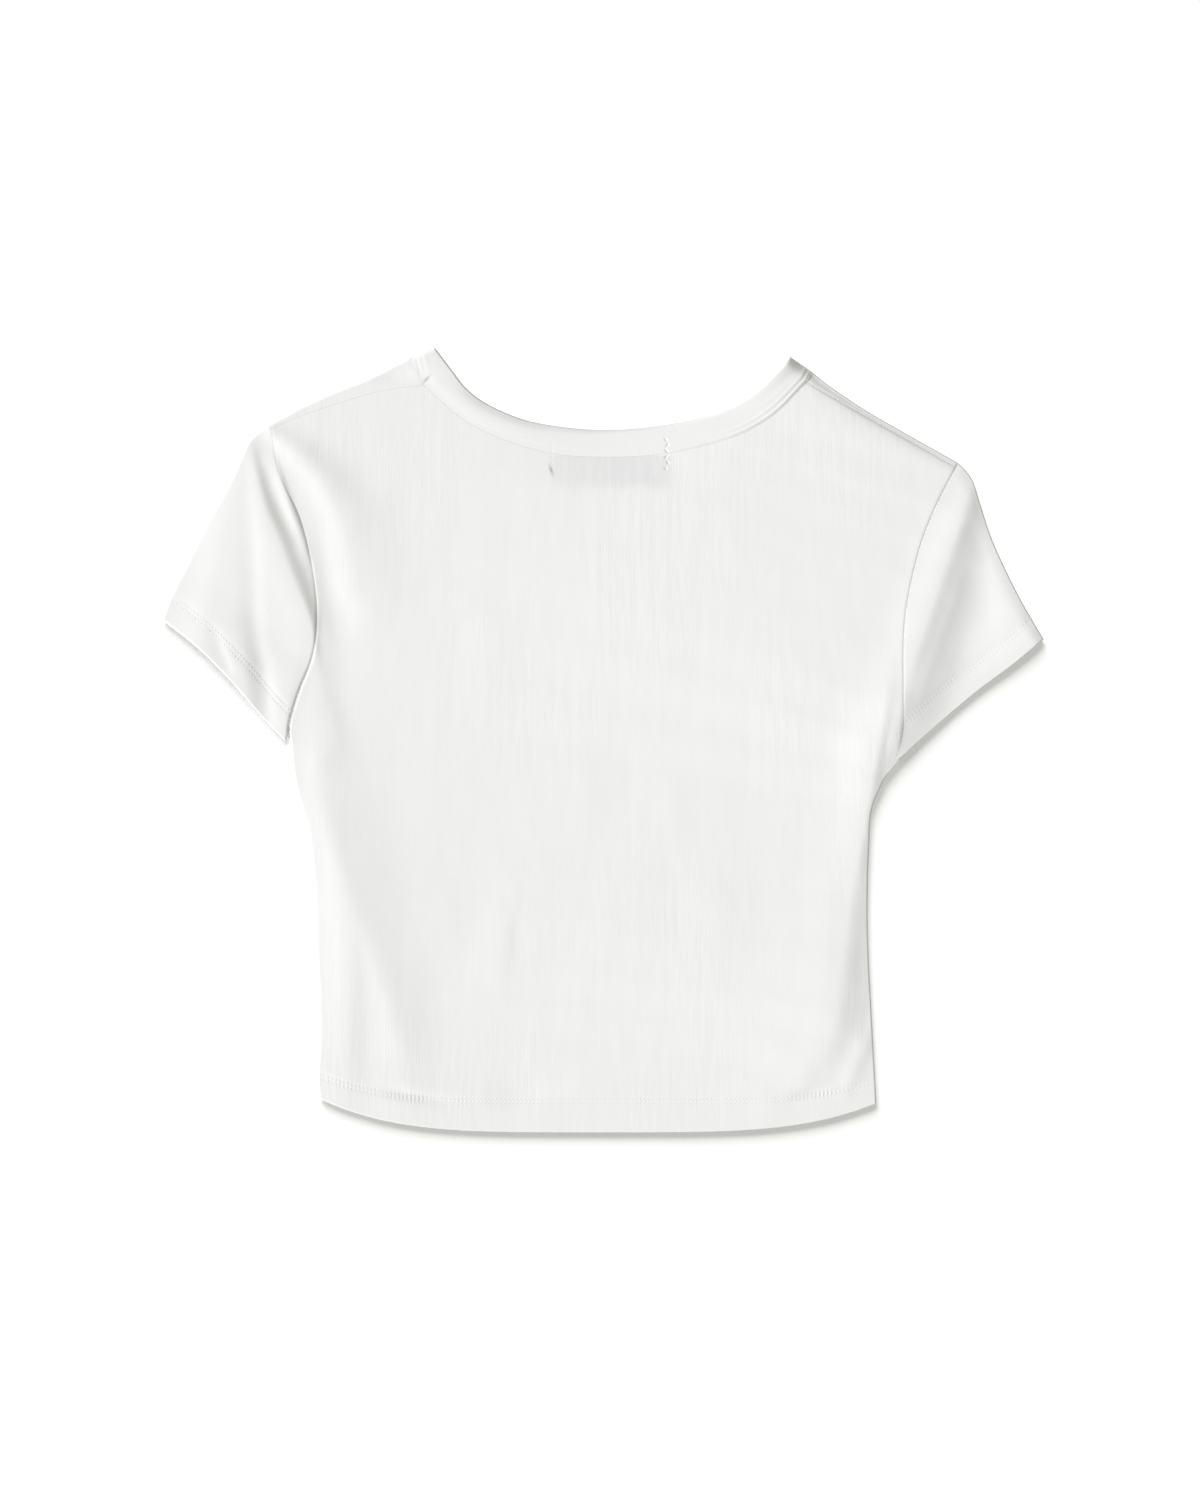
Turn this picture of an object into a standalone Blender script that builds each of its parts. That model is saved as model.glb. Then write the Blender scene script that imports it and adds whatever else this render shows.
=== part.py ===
"""Cropped T-shirt, laid flat on its front with the back uppermost.

Five sewn pieces, each one closed solid: back_body, front_body, sleeve_left, sleeve_right and
neck_binding.  Metres.  X runs across the shirt, Y from hem to neck, Z up from the surface that
the shirt lies on.  The origin is under the middle of the whole shirt.

Every piece is a knit wall between two nets of points.  A net is first drawn in plan, as a patch
stretched between its four sewn or folded edges, and then gets its heights: the front lies on
z = 0, and the back lies on the front at the height that top_height() gives.  Where the cloth
turns over at a folded edge, the wall rolls through a quarter circle.
"""
import math
from collections import namedtuple

import bpy
import numpy as np

# ---------------------------------------------------------------- cloth thickness and heights
WALL = 0.0010            # one layer of knit
HEM_WALL = 0.0018        # a turned-up hem: two layers pressed together
BINDING_WALL = 0.0013    # the folded neck binding, at its middle
BINDING_EDGE = 0.0010    # the same binding, along its two edges
AIR = 0.0006             # air between front and back where they lie on each other
SEAM_GAP = 0.0003        # sewn edges stand this far apart
FOLD_RADIUS = 0.0020     # folded edges: how far in the roll reaches
FOLD_LEVEL = 0.0020      # height of the outermost line of a folded edge
EDGE_LIFT = 0.0014       # the back rides this much higher beside a folded edge
EDGE_LIFT_REACH = 0.012  # and settles within about this distance of it
BINDING_LEVEL = (WALL + AIR + EDGE_LIFT + BINDING_WALL) / 2.0   # the same where the binding folds
ROUNDING = 0.0005        # how much the upper hem edges are rounded down

# ---------------------------------------------------------------- hems
HEM_DEPTH = 0.0154
SLEEVE_HEM_DEPTH = 0.0160
HEM_STEP = 0.0015        # the turned-up cloth ends over this distance
HEM_SLOPE = 0.0080       # above the hem the back comes down over this distance
FRONT_SHORTER = 0.0010   # the front hem stays this far behind the back one
HEM_LOWEST = -0.2080     # y of the hem at the middle
HEM_RISE_LEFT = 0.0180   # the hem curves up towards the sides, with the fourth power of the way
HEM_RISE_RIGHT = 0.0153

# ---------------------------------------------------------------- outline, seams and folds
Point = namedtuple("Point", "x y")

SIDE_FOLD = {            # from the hem corner up to the underarm
    "left": [Point(-0.1505, -0.1900), Point(-0.1514, -0.1820), Point(-0.1504, -0.1520),
             Point(-0.1520, -0.1100), Point(-0.1536, -0.0720), Point(-0.1570, -0.0460),
             Point(-0.1632, -0.0240), Point(-0.1664, 0.0038)],
    "right": [Point(0.1442, -0.1927), Point(0.1424, -0.1578), Point(0.1400, -0.1110),
              Point(0.1396, -0.0877), Point(0.1404, -0.0568), Point(0.1420, -0.0366),
              Point(0.1482, -0.0212)],
}
ARMHOLE = {              # sewn edge from the underarm up to the top of the shoulder
    "left": [Point(-0.1664, 0.0038), Point(-0.1658, 0.0090), Point(-0.1614, 0.0241),
             Point(-0.1545, 0.0424), Point(-0.1520, 0.0600), Point(-0.1530, 0.0816),
             Point(-0.1605, 0.1163), Point(-0.1720, 0.1418), Point(-0.1767, 0.1666)],
    "right": [Point(0.1482, -0.0212), Point(0.1532, -0.0120), Point(0.1576, 0.0000),
              Point(0.1584, 0.0260), Point(0.1586, 0.0500), Point(0.1602, 0.0693),
              Point(0.1674, 0.1011), Point(0.1753, 0.1217), Point(0.1878, 0.1462)],
}
SHOULDER_FOLD = {        # from the neck edge of the binding out to the top of the armhole
    "left": [Point(-0.0896, 0.2075), Point(-0.0938, 0.2062), Point(-0.1092, 0.1985),
             Point(-0.1250, 0.1905), Point(-0.1447, 0.1826), Point(-0.1622, 0.1746),
             Point(-0.1767, 0.1666)],
    "right": [Point(0.0986, 0.2027), Point(0.1090, 0.1955), Point(0.1178, 0.1884),
              Point(0.1388, 0.1742), Point(0.1569, 0.1637), Point(0.1878, 0.1462)],
}
SLEEVE_FOLD = {          # the sleeve's upper folded edge, from the shoulder to the cuff
    "left": [Point(-0.1767, 0.1666), Point(-0.1870, 0.1587), Point(-0.1910, 0.1508),
             Point(-0.1982, 0.1349), Point(-0.2072, 0.1190), Point(-0.2194, 0.0950),
             Point(-0.2310, 0.0713), Point(-0.2337, 0.0633)],
    "right": [Point(0.1878, 0.1462), Point(0.1944, 0.1384), Point(0.1991, 0.1249),
              Point(0.2055, 0.1058), Point(0.2198, 0.0756), Point(0.2328, 0.0530)],
}
CUFF = {                 # the sleeve's hem, from the underarm out to the folded edge
    "left": [Point(-0.1686, -0.0006), Point(-0.1790, 0.0098), Point(-0.1966, 0.0300),
             Point(-0.2150, 0.0485), Point(-0.2337, 0.0633)],
    "right": [Point(0.1552, -0.0114), Point(0.1706, 0.0025), Point(0.1959, 0.0240),
              Point(0.2182, 0.0407), Point(0.2328, 0.0530)],
}
SHOULDER_SEAM = {        # sewn a little behind the fold, from the neck outwards
    "left": [Point(-0.0954, 0.1874), Point(-0.1155, 0.1849), Point(-0.1463, 0.1760),
             Point(-0.1640, 0.1694)],
    "right": [Point(0.1073, 0.1891), Point(0.1218, 0.1807), Point(0.1394, 0.1705),
              Point(0.1632, 0.1571)],
}
UNDERARM_START = 0.0032         # the sleeve begins this far up the armhole
SHOULDER_SEAM_BEHIND = 0.0026   # seam to fold, at the top of the armhole
BINDING_ON_FOLD = 0.0143        # width of the binding where it turns over the fold

Crossing = namedtuple("Crossing", "seam_x seam_y edge_x edge_y")
BACK_NECK = [            # the binding across the back: its sewn side and its free side
    Crossing(-0.0954, 0.1874, -0.0802, 0.1952),
    Crossing(-0.0843, 0.1773, -0.0737, 0.1868),
    Crossing(-0.0731, 0.1683, -0.0636, 0.1787),
    Crossing(-0.0500, 0.1576, -0.0430, 0.1696),
    Crossing(-0.0240, 0.1510, -0.0200, 0.1653),
    Crossing(0.0032, 0.1495, 0.0020, 0.1640),
    Crossing(0.0300, 0.1510, 0.0280, 0.1660),
    Crossing(0.0540, 0.1558, 0.0500, 0.1703),
    Crossing(0.0750, 0.1627, 0.0680, 0.1770),
    Crossing(0.0914, 0.1730, 0.0815, 0.1858),
    Crossing(0.1073, 0.1891, 0.0945, 0.1980),
]
FRONT_SEAM_DROP = 0.0905  # half-ellipses: depth of the front neck below its two ends
FRONT_EDGE_DROP = 0.0845

# ---------------------------------------------------------------- large soft folds of the top layer
# A fold is a rounded ridge along a line. left and right are its reach to either side, seen
# along the line, and rise its height.
Fold = namedtuple("Fold", "rise left right line")
FOLDS = [
    # back: a long ridge from the left underarm, steep towards the middle, down to the hem
    Fold(0.0030, 0.0090, 0.0200, [Point(-0.1560, 0.0900), Point(-0.1500, 0.0620), Point(-0.1420, 0.0250),
                                  Point(-0.1370, -0.0200), Point(-0.1340, -0.0650),
                                  Point(-0.1220, -0.1050), Point(-0.1040, -0.1600)]),
    # back: a lower one from the right underarm along the side
    Fold(0.0016, 0.0200, 0.0080, [Point(0.1480, 0.0250), Point(0.1390, -0.0200),
                                  Point(0.1320, -0.0600), Point(0.1330, -0.1500)]),
    # back: pulled down from the left shoulder point
    Fold(0.0014, 0.0120, 0.0070, [Point(-0.1650, 0.1480), Point(-0.1520, 0.1250),
                                  Point(-0.1380, 0.0950), Point(-0.1300, 0.0700)]),
    # left sleeve: a crest with a steep side towards the armhole, and a narrow one beside the seam
    Fold(0.0026, 0.0050, 0.0130, [Point(-0.1880, 0.1520), Point(-0.1770, 0.1250), Point(-0.1670, 0.0950),
                                  Point(-0.1600, 0.0600), Point(-0.1620, 0.0300)]),
    # left sleeve: a low swell at its middle that lifts the cuff
    Fold(0.0012, 0.0120, 0.0060, [Point(-0.1930, 0.1100), Point(-0.1900, 0.0750),
                                  Point(-0.1880, 0.0380), Point(-0.1930, 0.0200)]),
    # right sleeve: two crests with a soft valley between them
    Fold(0.0026, 0.0110, 0.0080, [Point(0.1950, 0.1380), Point(0.1850, 0.1100), Point(0.1750, 0.0840),
                                  Point(0.1660, 0.0450), Point(0.1680, 0.0050)]),
    Fold(0.0018, 0.0080, 0.0090, [Point(0.2100, 0.1000), Point(0.2120, 0.0700),
                                  Point(0.2060, 0.0320)]),
]
FOLD_FADE = 0.30         # each end of a fold fades over this share of its length
NECK_SAG = 0.0008        # the back neck hangs down where no front lies under it
SAG_CENTRE = Point(0.0050, 0.1580)
SAG_REACH = Point(0.0750, 0.0320)

# ---------------------------------------------------------------- how finely the nets are cut
ROLL_ANGLES = [0.0, 30.0, 60.0, 90.0]     # 0 at the outermost line, 90 where the cloth is flat
HEM_ROWS = [0.0, 0.0008, 0.0080, HEM_DEPTH, HEM_DEPTH + HEM_STEP, 0.0250]
SIDE_ROWS = 12
ARMHOLE_ROWS = 14
SHOULDER_COLUMNS = 6
NECK_COLUMNS = 20
BINDING_SHARES = [0.0, 0.3, 0.7, 1.0]     # stations across the binding, from seam to free edge
BINDING_SWELL = [0.0, 1.0, 1.0, 0.0]      # 0 as thick as its edges there, 1 as thick as its middle
SLEEVE_RINGS = [0.0, 0.06, 0.12, 0.19, 0.28, 0.40, 0.52, 0.64, 0.76, 0.87, 0.97, 1.0]
PATH_STEPS = 12                           # points per span of a smooth path
BOW_FALLOFF = 16                          # how quickly a net forgets the bow of its sides
SHARP_ANGLE = math.radians(50.0)          # shading breaks at edges sharper than this
SIDES = ("left", "right")

# ---------------------------------------------------------------- colours
KNIT_ROUGHNESS = 0.85
BODY_WHITE = (0.86, 0.86, 0.85)
SLEEVE_WHITE = (0.85, 0.85, 0.84)
BINDING_WHITE = (0.84, 0.84, 0.83)


# ================================================================ curves in plan
def smooth_path(points):
    """Curve through the points: cubic Hermite spans on centripetal knots, as a dense polyline."""
    points = np.array([tuple(point) for point in points], float)
    knots = np.concatenate([[0.0], np.cumsum(np.linalg.norm(np.diff(points, axis=0), axis=1) ** 0.5)])
    slopes = np.gradient(points, knots, axis=0)
    spans = len(points) - 1
    at = np.linspace(0.0, spans, spans * PATH_STEPS + 1)
    span = np.minimum(at.astype(int), spans - 1)
    t = (at - span)[:, None]
    step = (knots[span + 1] - knots[span])[:, None]
    return (points[span] * (1 + 2 * t) * (1 - t) ** 2 + slopes[span] * step * t * (1 - t) ** 2
            + points[span + 1] * t ** 2 * (3 - 2 * t) - slopes[span + 1] * step * t ** 2 * (1 - t))


def lengths(path):
    """Distance along a polyline to each of its points."""
    return np.concatenate([[0.0], np.cumsum(np.linalg.norm(np.diff(path, axis=0), axis=1))])


def along(path, distance):
    """Points of a polyline at the given distances from its start."""
    way = lengths(path)
    return np.column_stack([np.interp(distance, way, path[:, axis]) for axis in range(2)])


def shares(points):
    """Distance along a row of points as a share of the whole, from 0 to 1."""
    way = lengths(points)
    return way / way[-1]


def unit(vectors):
    """The same directions with length 1."""
    return vectors / np.linalg.norm(vectors, axis=-1, keepdims=True)


def smooth_step(value):
    """0 below 0, 1 above 1 and a smooth S between."""
    value = np.clip(value, 0.0, 1.0)
    return value * value * (3.0 - 2.0 * value)


def nearest(path, x, y):
    """Distance to a polyline, the side it lies on (+1 left, -1 right) and the share of the way."""
    points = np.stack([x, y], axis=-1)[..., None, :]
    start = path[:-1]
    step = np.diff(path, axis=0)
    share = np.clip(((points - start) * step).sum(-1) / (step * step).sum(-1), 0.0, 1.0)
    offset = points - start - share[..., None] * step
    distance = np.linalg.norm(offset, axis=-1)
    best = distance.argmin(-1)
    turn = step[:, 0] * offset[..., 1] - step[:, 1] * offset[..., 0]
    way = lengths(path)
    travelled = way[:-1] + share * np.diff(way)
    pick = best[..., None]
    return (np.take_along_axis(distance, pick, -1)[..., 0],
            np.sign(np.take_along_axis(turn, pick, -1)[..., 0]),
            np.take_along_axis(travelled, pick, -1)[..., 0] / way[-1])


SIDE_PATH = {side: smooth_path(SIDE_FOLD[side]) for side in SIDES}
ARMHOLE_PATH = {side: smooth_path(ARMHOLE[side]) for side in SIDES}
SHOULDER_PATH = {side: smooth_path(SHOULDER_FOLD[side]) for side in SIDES}
SLEEVE_PATH = {side: smooth_path(SLEEVE_FOLD[side]) for side in SIDES}
CUFF_PATH = {side: smooth_path(CUFF[side]) for side in SIDES}
FOLD_PATHS = [smooth_path(fold.line) for fold in FOLDS]


def armhole_points(side):
    """Armhole stations from the underarm to the shoulder seam, shared by body and sleeve."""
    path = ARMHOLE_PATH[side]
    end = lengths(path)[-1] - SHOULDER_SEAM_BEHIND
    return along(path, np.concatenate([[0.0], np.linspace(UNDERARM_START, end, ARMHOLE_ROWS)]))


def shoulder_lines(side):
    """Matching points of the shoulder seam and of the fold in front of it, from neck to armhole."""
    fold = SHOULDER_PATH[side]
    fold_end = lengths(fold)[-1]
    fold_points = along(fold, np.linspace(BINDING_ON_FOLD, fold_end, SHOULDER_COLUMNS + 1))
    seam = smooth_path(SHOULDER_SEAM[side] + [Point(*armhole_points(side)[-1])])
    seam_points = along(seam, np.linspace(0.0, lengths(seam)[-1], SHOULDER_COLUMNS + 1))
    return seam_points, fold_points


def back_neck():
    """Sewn and free side of the binding across the back, left to right."""
    rows = np.array([tuple(row) for row in BACK_NECK])
    seam = smooth_path([Point(*row) for row in rows[:, :2]])
    edge = smooth_path([Point(*row) for row in rows[:, 2:]])
    share = np.linspace(0.0, 1.0, NECK_COLUMNS + 1)
    return along(seam, share * lengths(seam)[-1]), along(edge, share * lengths(edge)[-1])


def front_neck():
    """Sewn and free side across the front: half-ellipses hung between the ends of back_neck()."""
    angle = np.linspace(0.0, math.pi, NECK_COLUMNS + 1)
    curves = []
    for ends, drop in zip(back_neck(), (FRONT_SEAM_DROP, FRONT_EDGE_DROP)):
        across = (1.0 - np.cos(angle))[:, None] / 2.0
        curve = ends[0] + (ends[-1] - ends[0]) * across
        curve[:, 1] -= drop * np.sin(angle)
        curves.append(curve)
    return curves


# ================================================================ heights
def hem_height(share):
    """y of the hem line at a share of its width."""
    across = 2.0 * share - 1.0
    rise = np.where(across < 0.0, HEM_RISE_LEFT, HEM_RISE_RIGHT)
    return HEM_LOWEST + rise * across ** 4


def above_hem(x, y):
    """Distance in y above the body's hem."""
    left = SIDE_FOLD["left"][0].x
    right = SIDE_FOLD["right"][0].x
    return y - hem_height(np.clip((x - left) / (right - left), 0.0, 1.0))


def hem_share(distance, depth):
    """1 on a hem of this depth, 0 past it."""
    return smooth_step((depth + HEM_STEP - distance) / HEM_STEP)


def top_height(x, y):
    """Height of the upper layer's outer face over a place in plan.

    Two layers and the air between them, raised beside folded edges, over hems and along the
    folds, and let down at the back neck.
    """
    edge = np.zeros_like(x)
    for side in SIDES:
        for path in (SIDE_PATH[side], SHOULDER_PATH[side], SLEEVE_PATH[side]):
            beyond = np.maximum(nearest(path, x, y)[0] - FOLD_RADIUS, 0.0)
            edge = np.maximum(edge, EDGE_LIFT * np.exp(-(beyond / EDGE_LIFT_REACH) ** 2))
    hem = smooth_step((HEM_DEPTH + HEM_SLOPE - above_hem(x, y)) / HEM_SLOPE)
    for side in SIDES:
        from_cuff = nearest(CUFF_PATH[side], x, y)[0]
        hem = np.maximum(hem, smooth_step((SLEEVE_HEM_DEPTH + HEM_SLOPE - from_cuff) / HEM_SLOPE))
    hem = hem * 2.0 * (HEM_WALL - WALL)
    folds = np.zeros_like(x)
    for fold, path in zip(FOLDS, FOLD_PATHS):
        distance, turn, share = nearest(path, x, y)
        reach = np.where(turn > 0.0, fold.left, fold.right)
        fade = smooth_step(share / FOLD_FADE) * smooth_step((1.0 - share) / FOLD_FADE)
        folds += fold.rise * fade * np.exp(-(distance / reach) ** 2)
    across = np.clip(np.abs(x - SAG_CENTRE.x) / SAG_REACH.x, 0.0, 1.0)
    up = np.clip(np.abs(y - SAG_CENTRE.y) / SAG_REACH.y, 0.0, 1.0)
    sag = NECK_SAG * (np.cos(across * math.pi / 2.0) * np.cos(up * math.pi / 2.0)) ** 2
    return 2.0 * WALL + AIR + (edge ** 3 + hem ** 3) ** (1.0 / 3.0) + folds - sag


# ================================================================ walls
def wall_points(plan, inward, turn, upper, thickness, level, strength=1.0, extra=0.0):
    """Outer and inner points of cloth whose edge may roll over.

    turn is the roll's angle in radians, 0 at its outermost line and a right angle where the cloth
    lies flat.  The outer face goes from level to the flat height with the sine of the angle, and
    the inner face stays one thickness inside it: thickness * cos(turn) in plan along inward.
    strength 0 leaves the cloth flat right up to its edge.  extra raises the upper outer face.
    """
    flat = np.where(upper, top_height(plan[..., 0], plan[..., 1]) + extra, 0.0)
    flat_inside = np.where(upper, flat - thickness, thickness)
    down = strength * (1.0 - np.sin(turn))
    shift = (strength * thickness * np.cos(turn))[..., None] * inward
    outer = np.concatenate([plan, (flat + (level - flat) * down)[..., None]], axis=-1)
    inner = np.concatenate([plan + shift, (flat_inside + (level - flat_inside) * down)[..., None]],
                           axis=-1)
    return outer, inner


def add_edge_columns(plan, start):
    """Add the narrow columns of the roll at both ends of each row.

    start is how far in each row begins.  Returns the wider net, the direction into the cloth and
    the roll angle at each point; between the two rolls the angle is a right angle.
    """
    angles = np.radians(ROLL_ANGLES)
    inset = start[:, None] + FOLD_RADIUS * (1.0 - np.cos(angles))
    first = unit(plan[:, 1] - plan[:, 0])
    last = unit(plan[:, -2] - plan[:, -1])
    left = plan[:, :1] + inset[..., None] * first[:, None]
    right = (plan[:, -1:] + inset[..., None] * last[:, None])[:, ::-1]
    wide = np.concatenate([left, plan[:, 1:-1], right], axis=1)
    middle = plan.shape[1] - 2
    half = len(angles) + middle // 2
    inward = np.repeat(last[:, None], wide.shape[1], axis=1)
    inward[:, :half] = first[:, None]
    turn = np.concatenate([angles, np.full(middle, math.pi / 2.0), angles[::-1]])
    return wide, inward, np.broadcast_to(turn, wide.shape[:2])


def stretch(bottom, top, left, right):
    """Net in plan between four edges, rows from bottom to top.

    Straight columns between bottom and top, bent beside the two sides by what each side bows
    away from the straight line between its ends (a Coons patch with a quick falloff).
    """
    u = ((shares(bottom) + shares(top)) / 2.0)[None, :, None]
    v = ((shares(left) + shares(right)) / 2.0)[:, None, None]
    left_bow = left[:, None] - (1 - v) * left[0] - v * left[-1]
    right_bow = right[:, None] - (1 - v) * right[0] - v * right[-1]
    return ((1 - v) * bottom[None] + v * top[None]
            + (1 - u) ** BOW_FALLOFF * left_bow + u ** BOW_FALLOFF * right_bow)


def net_quads(present, closed=False):
    """Corner numbers of a net's quads, counter-clockwise seen from above.

    present says which patches exist.  A closed net joins its last column to its first.
    """
    columns = present.shape[1] + (0 if closed else 1)
    row, column = np.nonzero(present)
    following = (column + 1) % columns
    return np.column_stack([row * columns + column, row * columns + following,
                            (row + 1) * columns + following, (row + 1) * columns + column])


def add_object(name, points, faces, colour):
    """A smooth mesh object with its own knit material."""
    used = np.unique(faces)
    mesh = bpy.data.meshes.new(name)
    mesh.from_pydata(points[used].tolist(), [], np.searchsorted(used, faces).tolist())
    mesh.validate()
    mesh.shade_smooth()
    mesh.set_sharp_from_angle(angle=SHARP_ANGLE)
    material = bpy.data.materials.new(name + "_knit")
    material.use_nodes = True
    principled = material.node_tree.nodes["Principled BSDF"]
    principled.inputs["Base Color"].default_value = (*colour, 1.0)
    principled.inputs["Roughness"].default_value = KNIT_ROUGHNESS
    principled.inputs["Metallic"].default_value = 0.0
    mesh.materials.append(material)
    shirt_piece = bpy.data.objects.new(name, mesh)
    bpy.context.scene.collection.objects.link(shirt_piece)


def add_wall(name, outer, inner, quads, colour):
    """Closed solid between two matching nets: outside, inside, and a rim along each free side."""
    outer = outer.reshape(-1, 3)
    inner = inner.reshape(-1, 3)
    count = len(outer)
    start = quads.ravel()
    end = np.roll(quads, -1, axis=1).ravel()
    free = ~np.isin(start * count + end, end * count + start)
    rim = np.column_stack([end[free], start[free], start[free] + count, end[free] + count])
    add_object(name, np.vstack([outer, inner]), np.vstack([quads, quads[:, ::-1] + count, rim]), colour)


# ================================================================ body panels
def side_stations(side):
    """Points up one side of a panel, and 1 where that side is folded, 0 along the armhole."""
    path = SIDE_PATH[side]
    total = lengths(path)[-1]
    up_side = np.concatenate([HEM_ROWS, np.linspace(HEM_ROWS[-1], total, SIDE_ROWS + 1)[1:]])
    roll = np.concatenate([np.ones(len(up_side)), np.zeros(ARMHOLE_ROWS)])
    return np.vstack([along(path, up_side), armhole_points(side)[1:]]), roll


def panel_plan(neck_seam, neck_edge, shorter):
    """A panel's net in plan, with its neck and armhole edges half a seam gap inside the seams."""
    left, left_roll = side_stations("left")
    right, right_roll = side_stations("right")
    left_seam = shoulder_lines("left")[0][::-1]
    right_seam = shoulder_lines("right")[0]
    off_binding = -unit(neck_edge - neck_seam) * SEAM_GAP / 2.0
    neck = neck_seam + off_binding
    top = np.vstack([left_seam[:-1], neck, right_seam[1:]])
    across = np.linspace(0.0, 1.0, len(top))
    hem_rows = len(HEM_ROWS)
    hem = np.empty((hem_rows, len(top), 2))
    for row, distance in enumerate(HEM_ROWS):
        up = distance + shorter * (1.0 - distance / HEM_ROWS[-1])
        hem[row, :, 0] = left[row, 0] + (right[row, 0] - left[row, 0]) * across
        hem[row, :, 1] = hem_height(across) + up
        hem[row, 0] = left[row] + (0.0, up - distance)
        hem[row, -1] = right[row] + (0.0, up - distance)
    above = stretch(hem[-1], top, left[hem_rows - 1:], right[hem_rows - 1:])
    plan = np.vstack([hem, above[1:]])
    roll = (left_roll + right_roll) / 2.0
    return plan, roll


def panel_walls(plan, roll, upper):
    """Outer and inner nets of a whole panel up to its shoulder and neck seams."""
    start = (1.0 - roll) * SEAM_GAP / 2.0
    wide, inward, turn = add_edge_columns(plan, start)
    thickness = WALL + (HEM_WALL - WALL) * hem_share(above_hem(wide[..., 0], wide[..., 1]), HEM_DEPTH)
    level = FOLD_LEVEL + (SEAM_GAP / 2.0 if upper else -SEAM_GAP / 2.0)
    outer, inner = wall_points(wide, inward, turn, upper, thickness, level, roll[:, None])
    return wide, outer, inner


def add_back():
    """The back panel: the upper layer, from the hem to the shoulder and neck seams."""
    plan, roll = panel_plan(*back_neck(), 0.0)
    off_seam = unit(plan[-2] - plan[-1]) * SEAM_GAP / 2.0
    shoulder = np.r_[0:SHOULDER_COLUMNS + 1, -SHOULDER_COLUMNS - 1:0]
    plan[-1, shoulder] += off_seam[shoulder]
    _, outer, inner = panel_walls(plan, roll, True)
    outer[0, :, 2] -= ROUNDING
    present = np.ones((outer.shape[0] - 1, outer.shape[1] - 1), bool)
    add_wall("back_body", outer, inner, net_quads(present), BODY_WHITE)


def shoulder_strip(side, seam_row):
    """Rows of the front panel that turn over the shoulder fold, from below to the seam on top.

    seam_row holds the panel's last row on this shoulder, from the armhole inwards; each of its
    points has a partner on the fold.
    """
    seam, fold = (line[::-1] for line in shoulder_lines(side))
    way = lengths(seam_row) + SEAM_GAP / 2.0
    way[-1] = lengths(seam)[-1]
    fold_row = along(fold, way * lengths(fold)[-1] / lengths(seam)[-1])
    fold_row[-1] += seam_row[-1] - seam[-1]
    into = unit(seam_row - fold_row)
    angles = np.radians(ROLL_ANGLES)
    inset = FOLD_RADIUS * (1.0 - np.cos(angles))
    rolled = fold_row[None] + inset[:, None, None] * into[None]
    over = np.vstack([rolled[::-1], rolled[1:], (seam_row - into * SEAM_GAP / 2.0)[None]])
    turn = np.concatenate([angles[::-1], angles[1:], [math.pi / 2.0]])
    upper = np.arange(len(turn)) >= len(angles) - 1
    shape = over.shape[:2]
    return wall_points(over, np.broadcast_to(into, over.shape),
                       np.broadcast_to(turn[:, None], shape), np.broadcast_to(upper[:, None], shape),
                       WALL, FOLD_LEVEL)


def add_front():
    """The front panel: the lower layer, and on each shoulder a strip that turns up over the fold."""
    plan, roll = panel_plan(*front_neck(), FRONT_SHORTER)
    wide, outer, inner = panel_walls(plan, roll, False)
    rows, columns = outer.shape[:2]
    shoulder = SHOULDER_COLUMNS + len(ROLL_ANGLES)
    strip_rows = 2 * len(ROLL_ANGLES)
    outer_over = np.zeros((strip_rows, columns, 3))
    inner_over = np.zeros((strip_rows, columns, 3))
    left_outer, left_inner = shoulder_strip("left", wide[-1, :shoulder])
    right_outer, right_inner = shoulder_strip("right", wide[-1, ::-1][:shoulder])
    outer_over[:, :shoulder] = left_outer
    inner_over[:, :shoulder] = left_inner
    outer_over[:, columns - shoulder:] = right_outer[:, ::-1]
    inner_over[:, columns - shoulder:] = right_inner[:, ::-1]
    present = np.ones((rows + strip_rows - 1, columns - 1), bool)
    present[rows - 1:, shoulder - 1:columns - shoulder] = False
    quads = net_quads(present)[:, ::-1]
    add_wall("front_body", np.vstack([outer, outer_over]), np.vstack([inner, inner_over]), quads,
             BODY_WHITE)


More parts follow.
